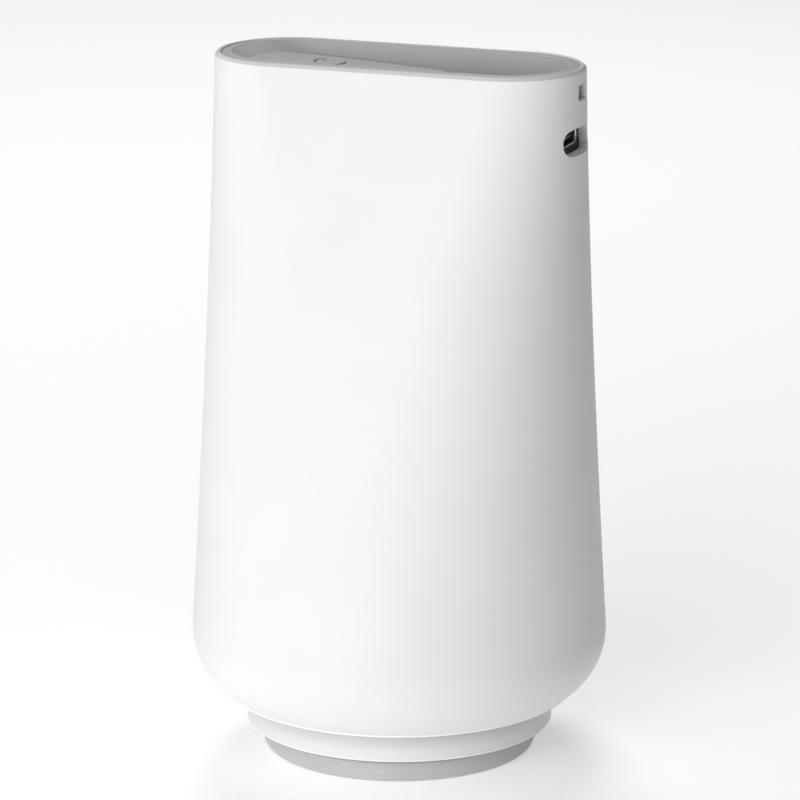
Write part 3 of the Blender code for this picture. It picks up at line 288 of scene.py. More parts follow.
def prism(name, outline, low, high, mat, axis="Z", edge=0.0, edge_steps=3):
    """Extrudes an outline along Z, or along X with u as y and v as z, with its end edges rounded."""
    levels = [(low, 0.0), (high, 0.0)]
    if edge > 0:
        turn = [pi / 2 * step / edge_steps for step in range(edge_steps + 1)]
        levels = [(low + edge * (1 - sin(angle)), edge * (1 - cos(angle))) for angle in reversed(turn)]
        levels += [(high - edge * (1 - sin(angle)), edge * (1 - cos(angle))) for angle in turn]
    rings = []
    for level, inset in levels:
        ring = inward(outline, inset) if inset else outline
        if axis == "Z":
            rings.append([(u, v, level) for u, v in ring])
        else:
            rings.append([(level, u, v) for u, v in ring])
    return skinned(name, rings, mat, closed=False)


def inward(outline, inset):
    """Moves each point of a closed outline inwards, square to the outline there."""
    pairs = zip(outline, outline[1:] + outline[:1])
    area = sum(here[0] * following[1] - following[0] * here[1] for here, following in pairs)
    side = 1 if area > 0 else -1
    moved = []
    for index, point in enumerate(outline):
        before = Vector(outline[index - 1])
        after = Vector(outline[(index + 1) % len(outline)])
        along = (after - before).normalized()
        moved.append((point[0] - side * along.y * inset, point[1] + side * along.x * inset))
    return moved


def polar(radius, angle_degrees):
    return (radius * cos(radians(angle_degrees)), radius * sin(radians(angle_degrees)))


def cut(target, cutter, operation="DIFFERENCE", sharp_degrees=30):
    """Applies an exact Boolean at once and removes the cutter."""
    modifier = target.modifiers.new("cut", "BOOLEAN")
    modifier.operation = operation
    modifier.solver = "EXACT"
    modifier.object = cutter
    bpy.context.view_layer.update()
    graph = bpy.context.evaluated_depsgraph_get()
    mesh = bpy.data.meshes.new_from_object(target.evaluated_get(graph))
    target.modifiers.clear()
    old = target.data
    target.data = mesh
    mesh.name = target.name
    bpy.data.meshes.remove(old)
    bpy.data.objects.remove(cutter, do_unlink=True)
    smoothed(mesh, sharp_degrees)


def merged(name, objects):
    """Puts several objects' meshes into one object, keeping each one's materials."""
    bm = bmesh.new()
    mesh = bpy.data.meshes.new(name)
    for obj in objects:
        slot_of = []
        for mat in obj.data.materials:
            if mat.name not in mesh.materials:
                mesh.materials.append(mat)
            slot_of.append(list(mesh.materials).index(mat))
        start = len(bm.faces)
        obj.data.transform(obj.matrix_basis)
        bm.from_mesh(obj.data)
        bm.faces.ensure_lookup_table()
        for face in bm.faces[start:]:
            face.material_index = slot_of[min(face.material_index, len(slot_of) - 1)]
        bpy.data.objects.remove(obj, do_unlink=True)
    bm.to_mesh(mesh)
    bm.free()
    return shown(name, mesh)


def placed(piece, body, slot, *nodes):
    """Puts a piece on the body it rides on and hides the CAD nodes it stands for; the slot is not used."""
    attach(piece, body)
    if nodes:
        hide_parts(*nodes)


# ---- materials ----


class Finish:
    """A node material under construction: one Principled shader fed by procedural textures."""

    def __init__(self, name, colour, roughness, metallic=0.0, specular=0.5):
        self.material = bpy.data.materials.new(name)
        self.material.use_nodes = True
        self.nodes = self.material.node_tree.nodes
        self.links = self.material.node_tree.links
        self.shader = self.nodes["Principled BSDF"]
        self.set(Base_Color=(*colour, 1), Roughness=roughness, Metallic=metallic, Specular_IOR_Level=specular)
        self.coordinates = self.nodes.new("ShaderNodeTexCoord").outputs["Object"]

    def set(self, **values):
        """Sets constants on the shader's own sockets; an underscore stands for a space."""
        for socket, value in values.items():
            self.shader.inputs[socket.replace("_", " ")].default_value = value

    def stretched(self, scale):
        mapping = self.nodes.new("ShaderNodeMapping")
        mapping.inputs["Scale"].default_value = scale
        self.links.new(self.coordinates, mapping.inputs["Vector"])
        return mapping.outputs["Vector"]

    def noise(self, size, detail=3.0, stretch=None, rough=0.5):
        """Noise whose features are about size metres across."""
        node = self.nodes.new("ShaderNodeTexNoise")
        node.inputs["Scale"].default_value = 1 / size
        node.inputs["Detail"].default_value = detail
        node.inputs["Roughness"].default_value = rough
        vector = self.stretched(stretch) if stretch else self.coordinates
        self.links.new(vector, node.inputs["Vector"])
        return node.outputs["Fac"]

    def painted_by_height(self, below, colour, painted_bands):
        """Paints shade and highlight by height: each band fades the colour from one z to another by a factor,
        below 1 for painted shade and above 1 for painted highlight.
        """
        if not painted_bands:
            return below
        split = self.nodes.new("ShaderNodeSeparateXYZ")
        self.links.new(self.coordinates, split.inputs["Vector"])
        for start, end, factor in painted_bands:
            share = self.mapped(split.outputs["Z"], 0, 1, start, end)
            below = self.mixed(share, below, shade(colour, factor))
        return below

    def cells(self, size):
        node = self.nodes.new("ShaderNodeTexVoronoi")
        node.inputs["Scale"].default_value = 1 / size
        self.links.new(self.coordinates, node.inputs["Vector"])
        return node.outputs["Distance"]

    def mapped(self, value, low, high, start=0.3, end=0.7):
        """Turns start to end of a value into low to high, and holds it there outside."""
        node = self.nodes.new("ShaderNodeMapRange")
        node.inputs["From Min"].default_value = start
        node.inputs["From Max"].default_value = end
        node.inputs["To Min"].default_value = low
        node.inputs["To Max"].default_value = high
        self.links.new(value, node.inputs["Value"])
        return node.outputs["Result"]

    def mixed(self, factor, first, second):
        """A colour between two; each is a colour or the output of another mix."""
        node = self.nodes.new("ShaderNodeMix")
        node.data_type = "RGBA"
        self.links.new(factor, node.inputs["Factor"])
        for socket, colour in ((node.inputs[6], first), (node.inputs[7], second)):
            if isinstance(colour, bpy.types.NodeSocket):
                self.links.new(colour, socket)
            else:
                socket.default_value = (*colour, 1)
        return node.outputs[2]

    def colour(self, output):
        self.links.new(output, self.shader.inputs["Base Color"])

    def roughness(self, output):
        self.links.new(output, self.shader.inputs["Roughness"])

    def bump(self, height, distance, strength=1.0):
        """Adds a height to the bump chain; distance is in metres."""
        node = self.nodes.new("ShaderNodeBump")
        node.inputs["Distance"].default_value = distance
        node.inputs["Strength"].default_value = strength
        self.links.new(height, node.inputs["Height"])
        target = self.shader.inputs["Normal"]
        if target.is_linked:
            self.links.new(target.links[0].from_socket, node.inputs["Normal"])
        self.links.new(node.outputs["Normal"], target)


DUST = (0.60, 0.585, 0.56)
FLOW_SIZE = 22 * MM  # of the flow marks in moulded plastic
TRACK_SCALE = 260  # the track pattern's cells are about 2 x 1 mm
TRACK_WIDTH = 0.035  # of a cell


def shade(colour, factor):
    return tuple(channel * factor for channel in colour)


def moulded(name, colour, roughness, grain=0.35 * MM, depth=0.006 * MM, specular=0.5, painted_bands=()):
    """Injection-moulded plastic: spark-eroded grain, faint flow marks and uneven gloss, with painted shade
    and highlight by height from its bands.
    """
    made = Finish(name, colour, roughness, specular=specular)
    flow = made.mapped(made.noise(FLOW_SIZE, 4.0), 0.0, 1.0)
    made.colour(made.painted_by_height(made.mixed(flow, shade(colour, 0.97), colour), colour, painted_bands))
    made.roughness(made.mapped(made.noise(1.6 * MM, 5.0, rough=0.6), roughness - 0.05, roughness + 0.05))
    made.bump(made.noise(9 * MM, 2.0), 0.02 * MM, 0.35)
    made.bump(made.noise(grain, 4.0, rough=0.65), depth)
    return made.material


def handled(name, colour, roughness):
    """Matte plastic that has been used: fine grain, dull scuffs and a little dust."""
    made = Finish(name, colour, roughness, specular=0.3)
    flow = made.mapped(made.noise(FLOW_SIZE, 4.0), 0.0, 1.0)
    base = made.mixed(flow, shade(colour, 0.975), colour)
    dust = made.mapped(made.noise(2.4 * MM, 8.0, rough=0.7), 0.0, 0.10, 0.55, 0.8)
    made.colour(made.mixed(dust, base, DUST))
    scuffs = made.noise(0.9 * MM, 6.0, stretch=(1, 1, 7), rough=0.7)
    made.roughness(made.mapped(scuffs, roughness - 0.07, roughness + 0.09))
    made.bump(made.noise(0.22 * MM, 3.0, rough=0.6), 0.005 * MM)
    return made.material


def rubbery(name, colour, roughness, painted_bands=()):
    """Silicone: soft broad grain, dust that clings, and a dull sheen, with painted shade by height from its
    bands.
    """
    made = Finish(name, colour, roughness, specular=0.35)
    made.set(Sheen_Weight=0.15, Sheen_Roughness=0.5)
    dust = made.mapped(made.noise(0.8 * MM, 8.0, rough=0.75), 0.0, 0.3, 0.5, 0.75)
    patch = made.mixed(made.mapped(made.noise(14 * MM, 3.0), 0, 1), shade(colour, 0.93), colour)
    made.colour(made.painted_by_height(made.mixed(dust, patch, shade(colour, 1.25)), colour, painted_bands))
    made.roughness(made.mapped(made.noise(1.1 * MM, 5.0), roughness - 0.08, roughness + 0.08))
    made.bump(made.noise(0.5 * MM, 5.0, rough=0.6), 0.012 * MM)
    return made.material


def plated(name, colour, roughness, grain=(1, 1, 30)):
    """Bright metal with drawing marks along one axis and small stains."""
    made = Finish(name, colour, roughness, metallic=1.0)
    lines = made.noise(0.5 * MM, 6.0, stretch=grain, rough=0.7)
    made.roughness(made.mapped(lines, roughness - 0.08, roughness + 0.14))
    made.bump(lines, 0.004 * MM, 0.5)
    stains = made.mapped(made.noise(2.5 * MM, 5.0), 0.0, 0.5, 0.5, 0.8)
    made.colour(made.mixed(stains, colour, shade(colour, 0.72)))
    return made.material


def fibrous(name, colour, size, depth):
    """Paper or felt: matted fibres that lie every way."""
    made = Finish(name, colour, 0.92, specular=0.2)
    made.set(Sheen_Weight=0.25)
    fibres = made.noise(size, 8.0, stretch=(1, 1, 0.35), rough=0.75)
    made.colour(made.mixed(made.mapped(fibres, 0, 1, 0.35, 0.65), shade(colour, 0.8), colour))
    made.roughness(made.mapped(made.noise(size * 3, 4.0), 0.82, 0.98))
    made.bump(fibres, depth)
    made.bump(made.noise(size * 8, 2.0), depth * 2)
    return made.material


def granular(name, colour, size, depth):
    """Bound grains, such as carbon or open foam."""
    made = Finish(name, colour, 0.85, specular=0.4)
    grains = made.cells(size)
    made.colour(made.mixed(made.mapped(grains, 0, 1, 0.1, 0.7), shade(colour, 1.9), shade(colour, 0.6)))
    made.roughness(made.mapped(made.noise(size, 3.0), 0.7, 0.98))
    made.bump(grains, depth)
    return made.material


def circuit(name, colour):
    """Solder mask over faint copper tracks."""
    made = Finish(name, colour, 0.35)
    tracks = made.nodes.new("ShaderNodeTexBrick")
    tracks.inputs["Scale"].default_value = TRACK_SCALE
    tracks.inputs["Mortar Size"].default_value = TRACK_WIDTH
    made.links.new(made.coordinates, tracks.inputs["Vector"])
    lines = tracks.outputs["Fac"]
    made.colour(made.mixed(lines, shade(colour, 0.8), shade(colour, 1.9)))
    made.roughness(made.mapped(made.noise(3 * MM, 4.0), 0.28, 0.45))
    made.bump(lines, 0.02 * MM)
    return made.material


def frosted(name, colour):
    """Milky diffuser plastic."""
    made = Finish(name, colour, 0.38)
    made.set(Coat_Weight=0.2, Coat_Roughness=0.25)
    made.colour(made.mixed(made.mapped(made.noise(1.2 * MM, 3.0), 0, 1), shade(colour, 0.93), colour))
    made.roughness(made.mapped(made.noise(0.4 * MM, 4.0), 0.3, 0.46))
    made.bump(made.noise(0.12 * MM, 3.0), 0.003 * MM)
    return made.material


BASE_LOW_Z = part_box("base_ring")[0].z
FOOT_TOP_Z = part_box("foot_pad")[1].z
# Bands of (fades in from z, full at z, factor on the colour): painted shade darkens the top of the base and
# of the foot, under each overhang, and painted highlights brighten the lower edges.
# painted highlight along the shell's lower edge
SHELL_PAINTED_HIGHLIGHT = ((SHELL_FOOT_Z + 0.5 * MM, SHELL_FOOT_Z + 0.3 * MM, 1.12),)
# painted shade at the top of the base under the housing, and a painted highlight along its lower edge
BASE_PAINTED_SHADE_AND_HIGHLIGHT = (
    (BASE_LOW_Z + 2.0 * MM, SHELL_FOOT_Z, 0.64),
    (BASE_LOW_Z + 0.5 * MM, BASE_LOW_Z + 0.25 * MM, 1.16),
)
# painted shade: the foot darkens towards its top, under the base ring's overhang
FOOT_PAINTED_SHADE = (
    (FOOT_TOP_Z - 3.0 * MM, FOOT_TOP_Z - 0.9 * MM, 0.88),
    (FOOT_TOP_Z - 1.35 * MM, FOOT_TOP_Z - 0.85 * MM, 0.58),
)
WHITE = moulded("white_shell_plastic", (0.81, 0.802, 0.792), 0.46, specular=0.12, painted_bands=SHELL_PAINTED_HIGHLIGHT)
# a darker copy of the shell's white for the rim's chamfer and land: painted shade of that band
RIM_PAINTED_SHADE = moulded("rim_painted_shade", (0.72, 0.714, 0.706), 0.55, specular=0.25)
BASE_WHITE = moulded("white_base_plastic", (0.76, 0.753, 0.744), 0.46, specular=0.3, painted_bands=BASE_PAINTED_SHADE_AND_HIGHLIGHT)
TRAY = handled("tray_plastic", (0.52, 0.517, 0.512), 0.55)
BUTTON = handled("button_plastic", (0.52, 0.517, 0.512), 0.52)
INK = moulded("mark_ink", (0.16, 0.16, 0.162), 0.5, 0.2 * MM, 0.003 * MM)
FOOT = rubbery("foot_silicone", (0.49, 0.49, 0.49), 0.62, FOOT_PAINTED_SHADE)
BEZEL = moulded("bezel_plastic", (0.10, 0.098, 0.097), 0.5, 0.2 * MM)
PALE = moulded("pale_abs", (0.55, 0.56, 0.56), 0.48, 0.5 * MM, 0.008 * MM)
INNER = moulded("inner_plastic", (0.21, 0.22, 0.23), 0.5, 0.5 * MM, 0.010 * MM)
LENS = frosted("lens_plastic", (0.25, 0.25, 0.245))
NICKEL = plated("plated_steel", (0.66, 0.65, 0.63), 0.28)
SOCKET = plated("socket_nickel", (0.90, 0.89, 0.87), 0.34, (30, 1, 1))
# a dark copy of the socket's nickel for its inside faces: painted shade
SOCKET_PAINTED_SHADE = plated("socket_inside_painted_shade", (0.24, 0.24, 0.235), 0.36, (30, 1, 1))
SPRING = plated("spring_steel", (0.55, 0.55, 0.54), 0.3)
COPPER = plated("windings", (0.72, 0.36, 0.20), 0.35, (1, 1, 12))
GOLD = plated("contact_gold", (0.83, 0.62, 0.28), 0.28, (20, 1, 1))
PAPER = fibrous("filter_paper", (0.80, 0.79, 0.74), 0.35 * MM, 0.02 * MM)
NET = fibrous("net_thread", (0.36, 0.38, 0.40), 0.12 * MM, 0.01 * MM)
CARBON = granular("carbon", (0.020, 0.020, 0.020), 0.9 * MM, 0.25 * MM)
FOAM = granular("foam", (0.035, 0.035, 0.037), 0.35 * MM, 0.08 * MM)
BOARD = circuit("solder_mask", (0.015, 0.12, 0.055))
CHIP = moulded("chip_plastic", (0.02, 0.02, 0.022), 0.42, 0.15 * MM)
TONGUE = moulded("tongue_plastic", (0.03, 0.03, 0.03), 0.45, 0.15 * MM)
POUCH = plated("pouch_foil", (0.55, 0.57, 0.60), 0.35, (1, 6, 1))

SLOT_FINISH = {
    "white_plastic": BASE_WHITE,
    "tray_plastic": TRAY,
    "pale_abs": PALE,
    "inner_plastic": INNER,
    "bezel_plastic": BEZEL,
    "grey_silicone": FOOT,
    "lens_plastic": LENS,
    "steel": NICKEL,
    "spring_steel": SPRING,
    "winding_core": COPPER,
    "filter_paper": PAPER,
    "carbon": CARBON,
    "net": NET,
    "foam": FOAM,
    "circuit_board": BOARD,
    "chip_plastic": CHIP,
    "pouch": POUCH,
}


def finish_cad_nodes():
    """Gives every CAD node the finish of its slot; those that a finer piece replaces are hidden later."""
    slots = {entry["node"]: entry["material_slot"] for entry in frame["record"]["subparts"]}
    for name, obj in frame["nodes"].items():
        obj.data.materials.clear()
        obj.data.materials.append(SLOT_FINISH[slots[name]])
        smoothed(obj.data, 32)


# ---- the housing's sections ----


def fall(z):
    """0 at the shell's top and 1 where the flank meets the lower rounding."""
    return min(max((SHELL_TOP - z) / FLANK_HEIGHT, 0.0), 1.0)


def half_length(z):
    """A cubic that has the rim's size and lean at the top, and the belly's at the bottom."""
    t = fall(z)
    start = (2 * t**3 - 3 * t**2 + 1) * TOP_HALF_LENGTH
    start_lean = (t**3 - 2 * t**2 + t) * TOP_LEAN * FLANK_HEIGHT
    end = (3 * t**2 - 2 * t**3) * FLANK_END_RADIUS
    end_lean = (t**3 - t**2) * tan(FLANK_LEAN) * FLANK_HEIGHT
    return start + start_lean + end + end_lean


def half_straight(z):
    return TOP_HALF_STRAIGHT * (1 - fall(z)) ** STRAIGHT_FADE


def section(inset, z, points=AROUND):
    """The housing's outline at a height, moved inwards."""
    straight = half_straight(z)
    end_radius = half_length(z) - straight - inset
    return [(u, v, z) for u, v in stadium(straight + end_radius, end_radius, points=points)]


def rim_section(inset, z):
    """The rim's outline, moved inwards, at any height."""
    end_radius = TOP_END_RADIUS - inset
    return [(u, v, z) for u, v in stadium(TOP_HALF_STRAIGHT + end_radius, end_radius, points=AROUND)]


def round_section(radius, z):
    return [(u, v, z) for u, v in stadium(radius, radius, points=AROUND)]


def lower_ring(inset, angle):
    """A ring on the rounding under the belly, at an angle below the level."""
    reach = LOWER_ROUND - inset
    return round_section(ROUND_CENTRE_RADIUS + reach * cos(angle), BELLY_Z - reach * sin(angle))


def blend_steps(start, end, count):
    return [start + (end - start) * index / (count - 1) for index in range(count)]


def end_x(y, z):
    """The outer surface's x at the port end, at a given y and z."""
    straight = half_straight(z)
    radius = half_length(z) - straight
    return straight + sqrt(max(radius * radius - y * y, 0))


def recess_cutter(name, outline, depth_x, edge):
    """A cutter for a hole through the port end's skin, whose mouth is rounded where it meets the skin.

    The rings run from outside the skin, where they follow its curve, down to a flat end at depth_x.
    """
    levels = [(1.5 * MM, edge * 1.4), (0.02 * MM, edge * 1.05)]
    levels += [(-edge * (1 - cos(turn)), edge * (1 - sin(turn))) for turn in blend_steps(0, pi / 2, 5)[1:]]
    rings = []
    for lift, spread in levels:
        rings.append([(end_x(u, v) + lift, u, v) for u, v in inward(outline, -spread)])
    rings.append([(depth_x, u, v) for u, v in outline])
    return skinned(name, rings, WHITE, closed=False)


def build_shell():
    """The white housing: its rim, flank, rounded lower edge and two recesses in its port end."""
    rim = [
        (RIM_INNER, REBATE_Z, 0),
        (RIM_INNER, SHELL_TOP, 0.15 * MM),
        (RIM_CHAMFER, SHELL_TOP, 0.2 * MM),
        (0, SHELL_TOP - RIM_CHAMFER, 0.12 * MM),
        (0, SHELL_TOP - 1.4 * MM, 0),
    ]
    rings = []
    for inset, z in softened(rim, 6)[1:]:
        rings.append(rim_section(inset, z) if inset > RIM_CHAMFER else section(inset, z))
    rings += [section(0, z) for z in blend_steps(SHELL_TOP - 1.8 * MM, FLANK_END_Z, 120)]
    land_z = SHELL_FOOT_Z + EDGE_LAND
    land_angle = asin((BELLY_Z - land_z) / LOWER_ROUND)
    land_radius = ROUND_CENTRE_RADIUS + LOWER_ROUND * cos(land_angle)
    rings += [lower_ring(0, angle) for angle in blend_steps(0, land_angle - radians(0.5), 36)]
    land = [
        (land_radius + 0.4 * MM, land_z + 0.25 * MM, 0),
        (land_radius, land_z, 0.08 * MM),
        (land_radius, SHELL_FOOT_Z, 0.12 * MM),
        (land_radius - 1 * MM, SHELL_FOOT_Z, 0),
    ]
    rings += [round_section(radius, z) for radius, z in softened(land, 5)[1:]]
    rings += [lower_ring(WALL, angle) for angle in blend_steps(LOWER_ROUND_END, 0, 12)]
    rings += [section(WALL, z) for z in blend_steps(FLANK_END_Z, SHELL_TOP - 12 * MM, 30)]
    rings += [rim_section(WALL, REBATE_Z), rim_section(RIM_INNER, REBATE_Z)]
    shell = skinned("housing_shell", rings, WHITE, sharp_degrees=40)
    # the rim's chamfer and land take the darker copy of the shell's white: painted shade
    shell.data.materials.append(RIM_PAINTED_SHADE)
    for face in shell.data.polygons:
        if face.center.z > SHELL_TOP - RIM_CHAMFER:
            face.material_index = 1
    recess_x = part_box("port_bezel")[0].x
    port = stadium(*PORT_HALF, PORT_CENTRE, PORT_POINTS)
    cut(shell, recess_cutter("port", port, recess_x, 0.3 * MM), sharp_degrees=18)
    window = rounded_box(*WINDOW_HALF, WINDOW_ROUND, WINDOW_CENTRE)
    cut(shell, recess_cutter("window", window, recess_x, 0.12 * MM), sharp_degrees=18)
    placed(shell, "housing", "white_plastic", "body_shell")


# ---- tray, button and outlet ----


def floor_z(x, y):
    """Height of the tray floor, with the start of its slope eased over a short stretch."""
    along = x - FLOOR_SLOPE_START
    if along <= -FLOOR_EASE:
        run = 0.0
    elif along < FLOOR_EASE:
        run = (along + FLOOR_EASE) ** 2 / (4 * FLOOR_EASE)
    else:
        run = along
    dip = FLOOR_END_FALL * max(0.0, FLOOR_END_X - x) ** 2
    return HEIGHT - FLOOR_DEPTH - FLOOR_CROWN * y * y - FLOOR_SLOPE * run - dip


def floor_ring(inset, lift):
    """A ring on the floor's outline, which stops short of the rim's at the -X end."""
    shrink = 1 - FLOOR_END_SHORTENING / (TOP_HALF_LENGTH - FLOOR_EDGE_INSET)
    plan = [(x * shrink if x < 0 else x, y) for x, y, _ in rim_section(inset, 0)]
    return [(x, y, floor_z(x, y) + lift) for x, y in plan]


def fillet_ring(inset, lift):
    """A ring above the floor, whose lift fades out towards the -X end, where the wall is a gentle slope."""
    ring = []
    for x, y, z in floor_ring(inset, 0):
        steepness = min(max((x - FILLET_FADE_X) / FILLET_FADE_LENGTH, FILLET_LEAST), 1.0)
        ring.append((x, y, z + lift * steepness))
    return ring


def build_tray():
    """The scooped tray: a flange that rises to its lip, a wall with a round foot, and a sloping floor."""
    skirt_z = REBATE_Z + GAP
    lip = [
        (TRAY_OUTER_INSET, skirt_z, 0),
        (TRAY_OUTER_INSET, HEIGHT - 0.3 * MM, 0.15 * MM),
        (LIP_INNER_INSET - 0.5 * MM, HEIGHT, 0.8 * MM),
        (LIP_INNER_INSET - 0.05 * MM, HEIGHT - 0.03 * MM, 0.3 * MM),
        (LIP_INNER_INSET + 0.02 * MM, HEIGHT - 0.14 * MM, 0),
    ]
    profile = softened(lip, 6)
    rings = [rim_section(TRAY_SKIRT_INSET, skirt_z)]
    rings += [rim_section(inset, z) for inset, z in profile]
    foot_inset = FLOOR_EDGE_INSET - 0.25 * MM
    wall_foot = fillet_ring(foot_inset, FILLET_RADIUS)
    for share in blend_steps(0, 1, 9)[1:]:
        ring = []
        for top, foot in zip(rim_section(*profile[-1]), wall_foot):
            ring.append(tuple(high + (low - high) * share for high, low in zip(top, foot)))
        rings.append(ring)
    for turn in blend_steps(0, pi / 2, 7)[1:]:
        inset = foot_inset + FILLET_RADIUS * (1 - cos(turn))
        rings.append(fillet_ring(inset, FILLET_RADIUS * (1 - sin(turn))))
    floor_insets = blend_steps(foot_inset + FILLET_RADIUS, TOP_END_RADIUS - 0.15 * MM, 24)[1:]
    rings += [floor_ring(inset, 0) for inset in floor_insets]
    rings.reverse()
    under = [TRAY_SKIRT_INSET] + blend_steps(FLOOR_EDGE_INSET, TOP_END_RADIUS - 0.4 * MM, 6)
    rings += [floor_ring(inset, -FLOOR_THICKNESS) for inset in under]
    tray = skinned("tray", rings, TRAY, closed=False, sharp_degrees=40)
    cut(tray, button_hole_cutter(), sharp_degrees=25)
    outlet = rounded_box(*OUTLET_HALF, 2 * MM, OUTLET_CENTRE, 10)
    cut(tray, flared_cutter("outlet", outlet, floor_z, 0.25 * MM, 5, 6 * MM, 3 * MM), sharp_degrees=25)
    # the groove in the skirt leaves room for the light window's lens
    groove = rounded_box(0.5 * MM, WINDOW_HALF[0], 0.1 * MM, (TOP_HALF_LENGTH - 2.4 * MM, 0))
    groove_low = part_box("outlet_grille")[0].z - 10 * MM
    window_top = WINDOW_CENTRE[1] + WINDOW_HALF[1]
    cut(tray, prism("groove", groove, groove_low, window_top, TRAY), sharp_degrees=25)
    placed(tray, "housing", "tray_plastic", "top_tray")


def flare(edge, count):
    """Steps of (spread, lift) that round the edge of a hole's mouth."""
    return [(edge * (1 - cos(turn)), edge * (sin(turn) - 1)) for turn in blend_steps(0, pi / 2.4, count)]


def flared_cutter(name, outline, surface, edge, steps, below, above):
    """A cutter through a surface of height surface(x, y), whose mouth flares to round the hole's edge."""
    rings = [[(u, v, surface(u, v) - below) for u, v in outline]]
    for spread, lift in flare(edge, steps) + [(edge * 1.4, above)]:
        rings.append([(u, v, surface(u, v) + lift) for u, v in inward(outline, -spread)])
    return skinned(name, rings, TRAY, closed=False)


def button_hole_cutter():
    """A round cutter whose mouth flares to round the hole's edge."""
    radius = BUTTON_RADIUS + 0.18 * MM
    edge = 0.14 * MM
    top = floor_z(*BUTTON_AT)
    profile = [(0, top - 8 * MM), (radius, top - 8 * MM)]
    profile += [(radius + spread, top + lift) for spread, lift in flare(edge, 5)]
    profile += [(radius + edge * 1.3, top + 2 * MM), (0, top + 2 * MM)]
    return turned("hole", profile, TRAY, 96, BUTTON_AT)


def build_outlet_grille():
    """The slotted plate in the outlet: cross slots with rounded edges, tilted with the floor."""
    top = floor_z(OUTLET_CENTRE[0], OUTLET_HALF[1]) - 0.2 * MM
    thickness = 1.3 * MM
    outline = rounded_box(OUTLET_HALF[0] - GAP, OUTLET_HALF[1] - GAP, 1.8 * MM, OUTLET_CENTRE)
    plate = prism("outlet_grille_plate", outline, top - thickness, top, TRAY, edge=0.2 * MM)
    pitch = 2 * (OUTLET_HALF[0] - 1 * MM) / OUTLET_SLOTS
    cutters = []
    for index in range(OUTLET_SLOTS):
        x = OUTLET_CENTRE[0] + (index - (OUTLET_SLOTS - 1) / 2) * pitch
        slot = [(x + v, u) for u, v in stadium(OUTLET_HALF[1] - 1.8 * MM, 0.65 * MM, points=32)]
        cutters.append(flared_cutter("slot", slot[::-1], lambda u, v: top, 0.18 * MM, 4, 4 * MM, 2 * MM))
    cut(plate, merged("slots", cutters), sharp_degrees=25)
    pivot = Matrix.Translation((OUTLET_CENTRE[0], 0, top))
    plate.data.transform(pivot @ Matrix.Rotation(FLOOR_SLOPE, 4, "Y") @ pivot.inverted())
    placed(plate, "housing", "tray_plastic", "outlet_grille")


def mark_bar(name, low, high, mat):
    """The upright of a plain power sign; the round gap about the button is its ring."""
    outline = rounded_box(0.75 * MM, 0.24 * MM, 0.2 * MM, (1.95 * MM, 0), 4)
    bar = prism(name, outline, low, high, mat)
    bar.data.transform(Matrix.Translation((*BUTTON_AT, 0)) @ Matrix.Rotation(MARK_ANGLE, 4, "Z"))
    return bar


def build_button():
    """The push button: a shallow dished cap with a flange and a stem, and its sunken mark."""
    dish = 0.05 * MM
    flange = BUTTON_RADIUS + 1.1 * MM
    flange_top = BUTTON_TOP - 2.5 * MM
    flange_low = flange_top - 1 * MM
    stem = 1.6 * MM
    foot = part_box("power_button")[0].z
    shares = (0, 0.25, 0.5, 0.75)
    corners = [(BUTTON_RADIUS * share, BUTTON_TOP + dish * (share**2 - 1), 0) for share in shares]
    corners += [
        (BUTTON_RADIUS, BUTTON_TOP, 0.22 * MM),
        (BUTTON_RADIUS, flange_top, 0),
        (flange, flange_top, 0.1 * MM),
        (flange, flange_low, 0.1 * MM),
        (stem, flange_low, 0.2 * MM),
        (stem, foot, 0.15 * MM),
        (0, foot, 0),
    ]
    cap = turned("button_cap", softened(corners, 6), BUTTON, 128, BUTTON_AT)
    groove = mark_bar("groove", BUTTON_TOP - 0.22 * MM, BUTTON_TOP + 1 * MM, BUTTON)
    cut(cap, groove, sharp_degrees=25)
    placed(cap, "button", "tray_plastic", "power_button")
    mark = mark_bar("button_mark", BUTTON_TOP - 0.3 * MM, BUTTON_TOP - 0.15 * MM, INK)
    placed(mark, "button", "chip_plastic")


def build_spring():
    """The button's return spring: a wire coil."""
    low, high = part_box("button_spring")
    wire = 0.2 * MM
    wire_points = 12
    coil_radius = (high.y - low.y) / 2 - wire
    turns = 4
    per_turn = 40
    step_angle = 2 * pi / per_turn
    rise = (high.z - low.z - 2 * wire) / (turns * per_turn)
    rings = []
    for index in range(turns * per_turn + 1):
        outward = Vector((cos(step_angle * index), sin(step_angle * index), 0))
        around = Vector((-outward.y, outward.x, 0)) * coil_radius * step_angle
        across = (around + Vector((0, 0, rise))).normalized().cross(outward)
        middle = Vector((*BUTTON_AT, low.z + wire + rise * index)) + outward * coil_radius
        turn = [2 * pi * step / wire_points for step in range(wire_points)]
        rings.append([tuple(middle + (outward * cos(t) + across * sin(t)) * wire) for t in turn])
    spring = skinned("return_spring", rings, SPRING, closed=False)
    placed(spring, "housing", "spring_steel", "button_spring")
    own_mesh(spring)


# ---- port and light window ----


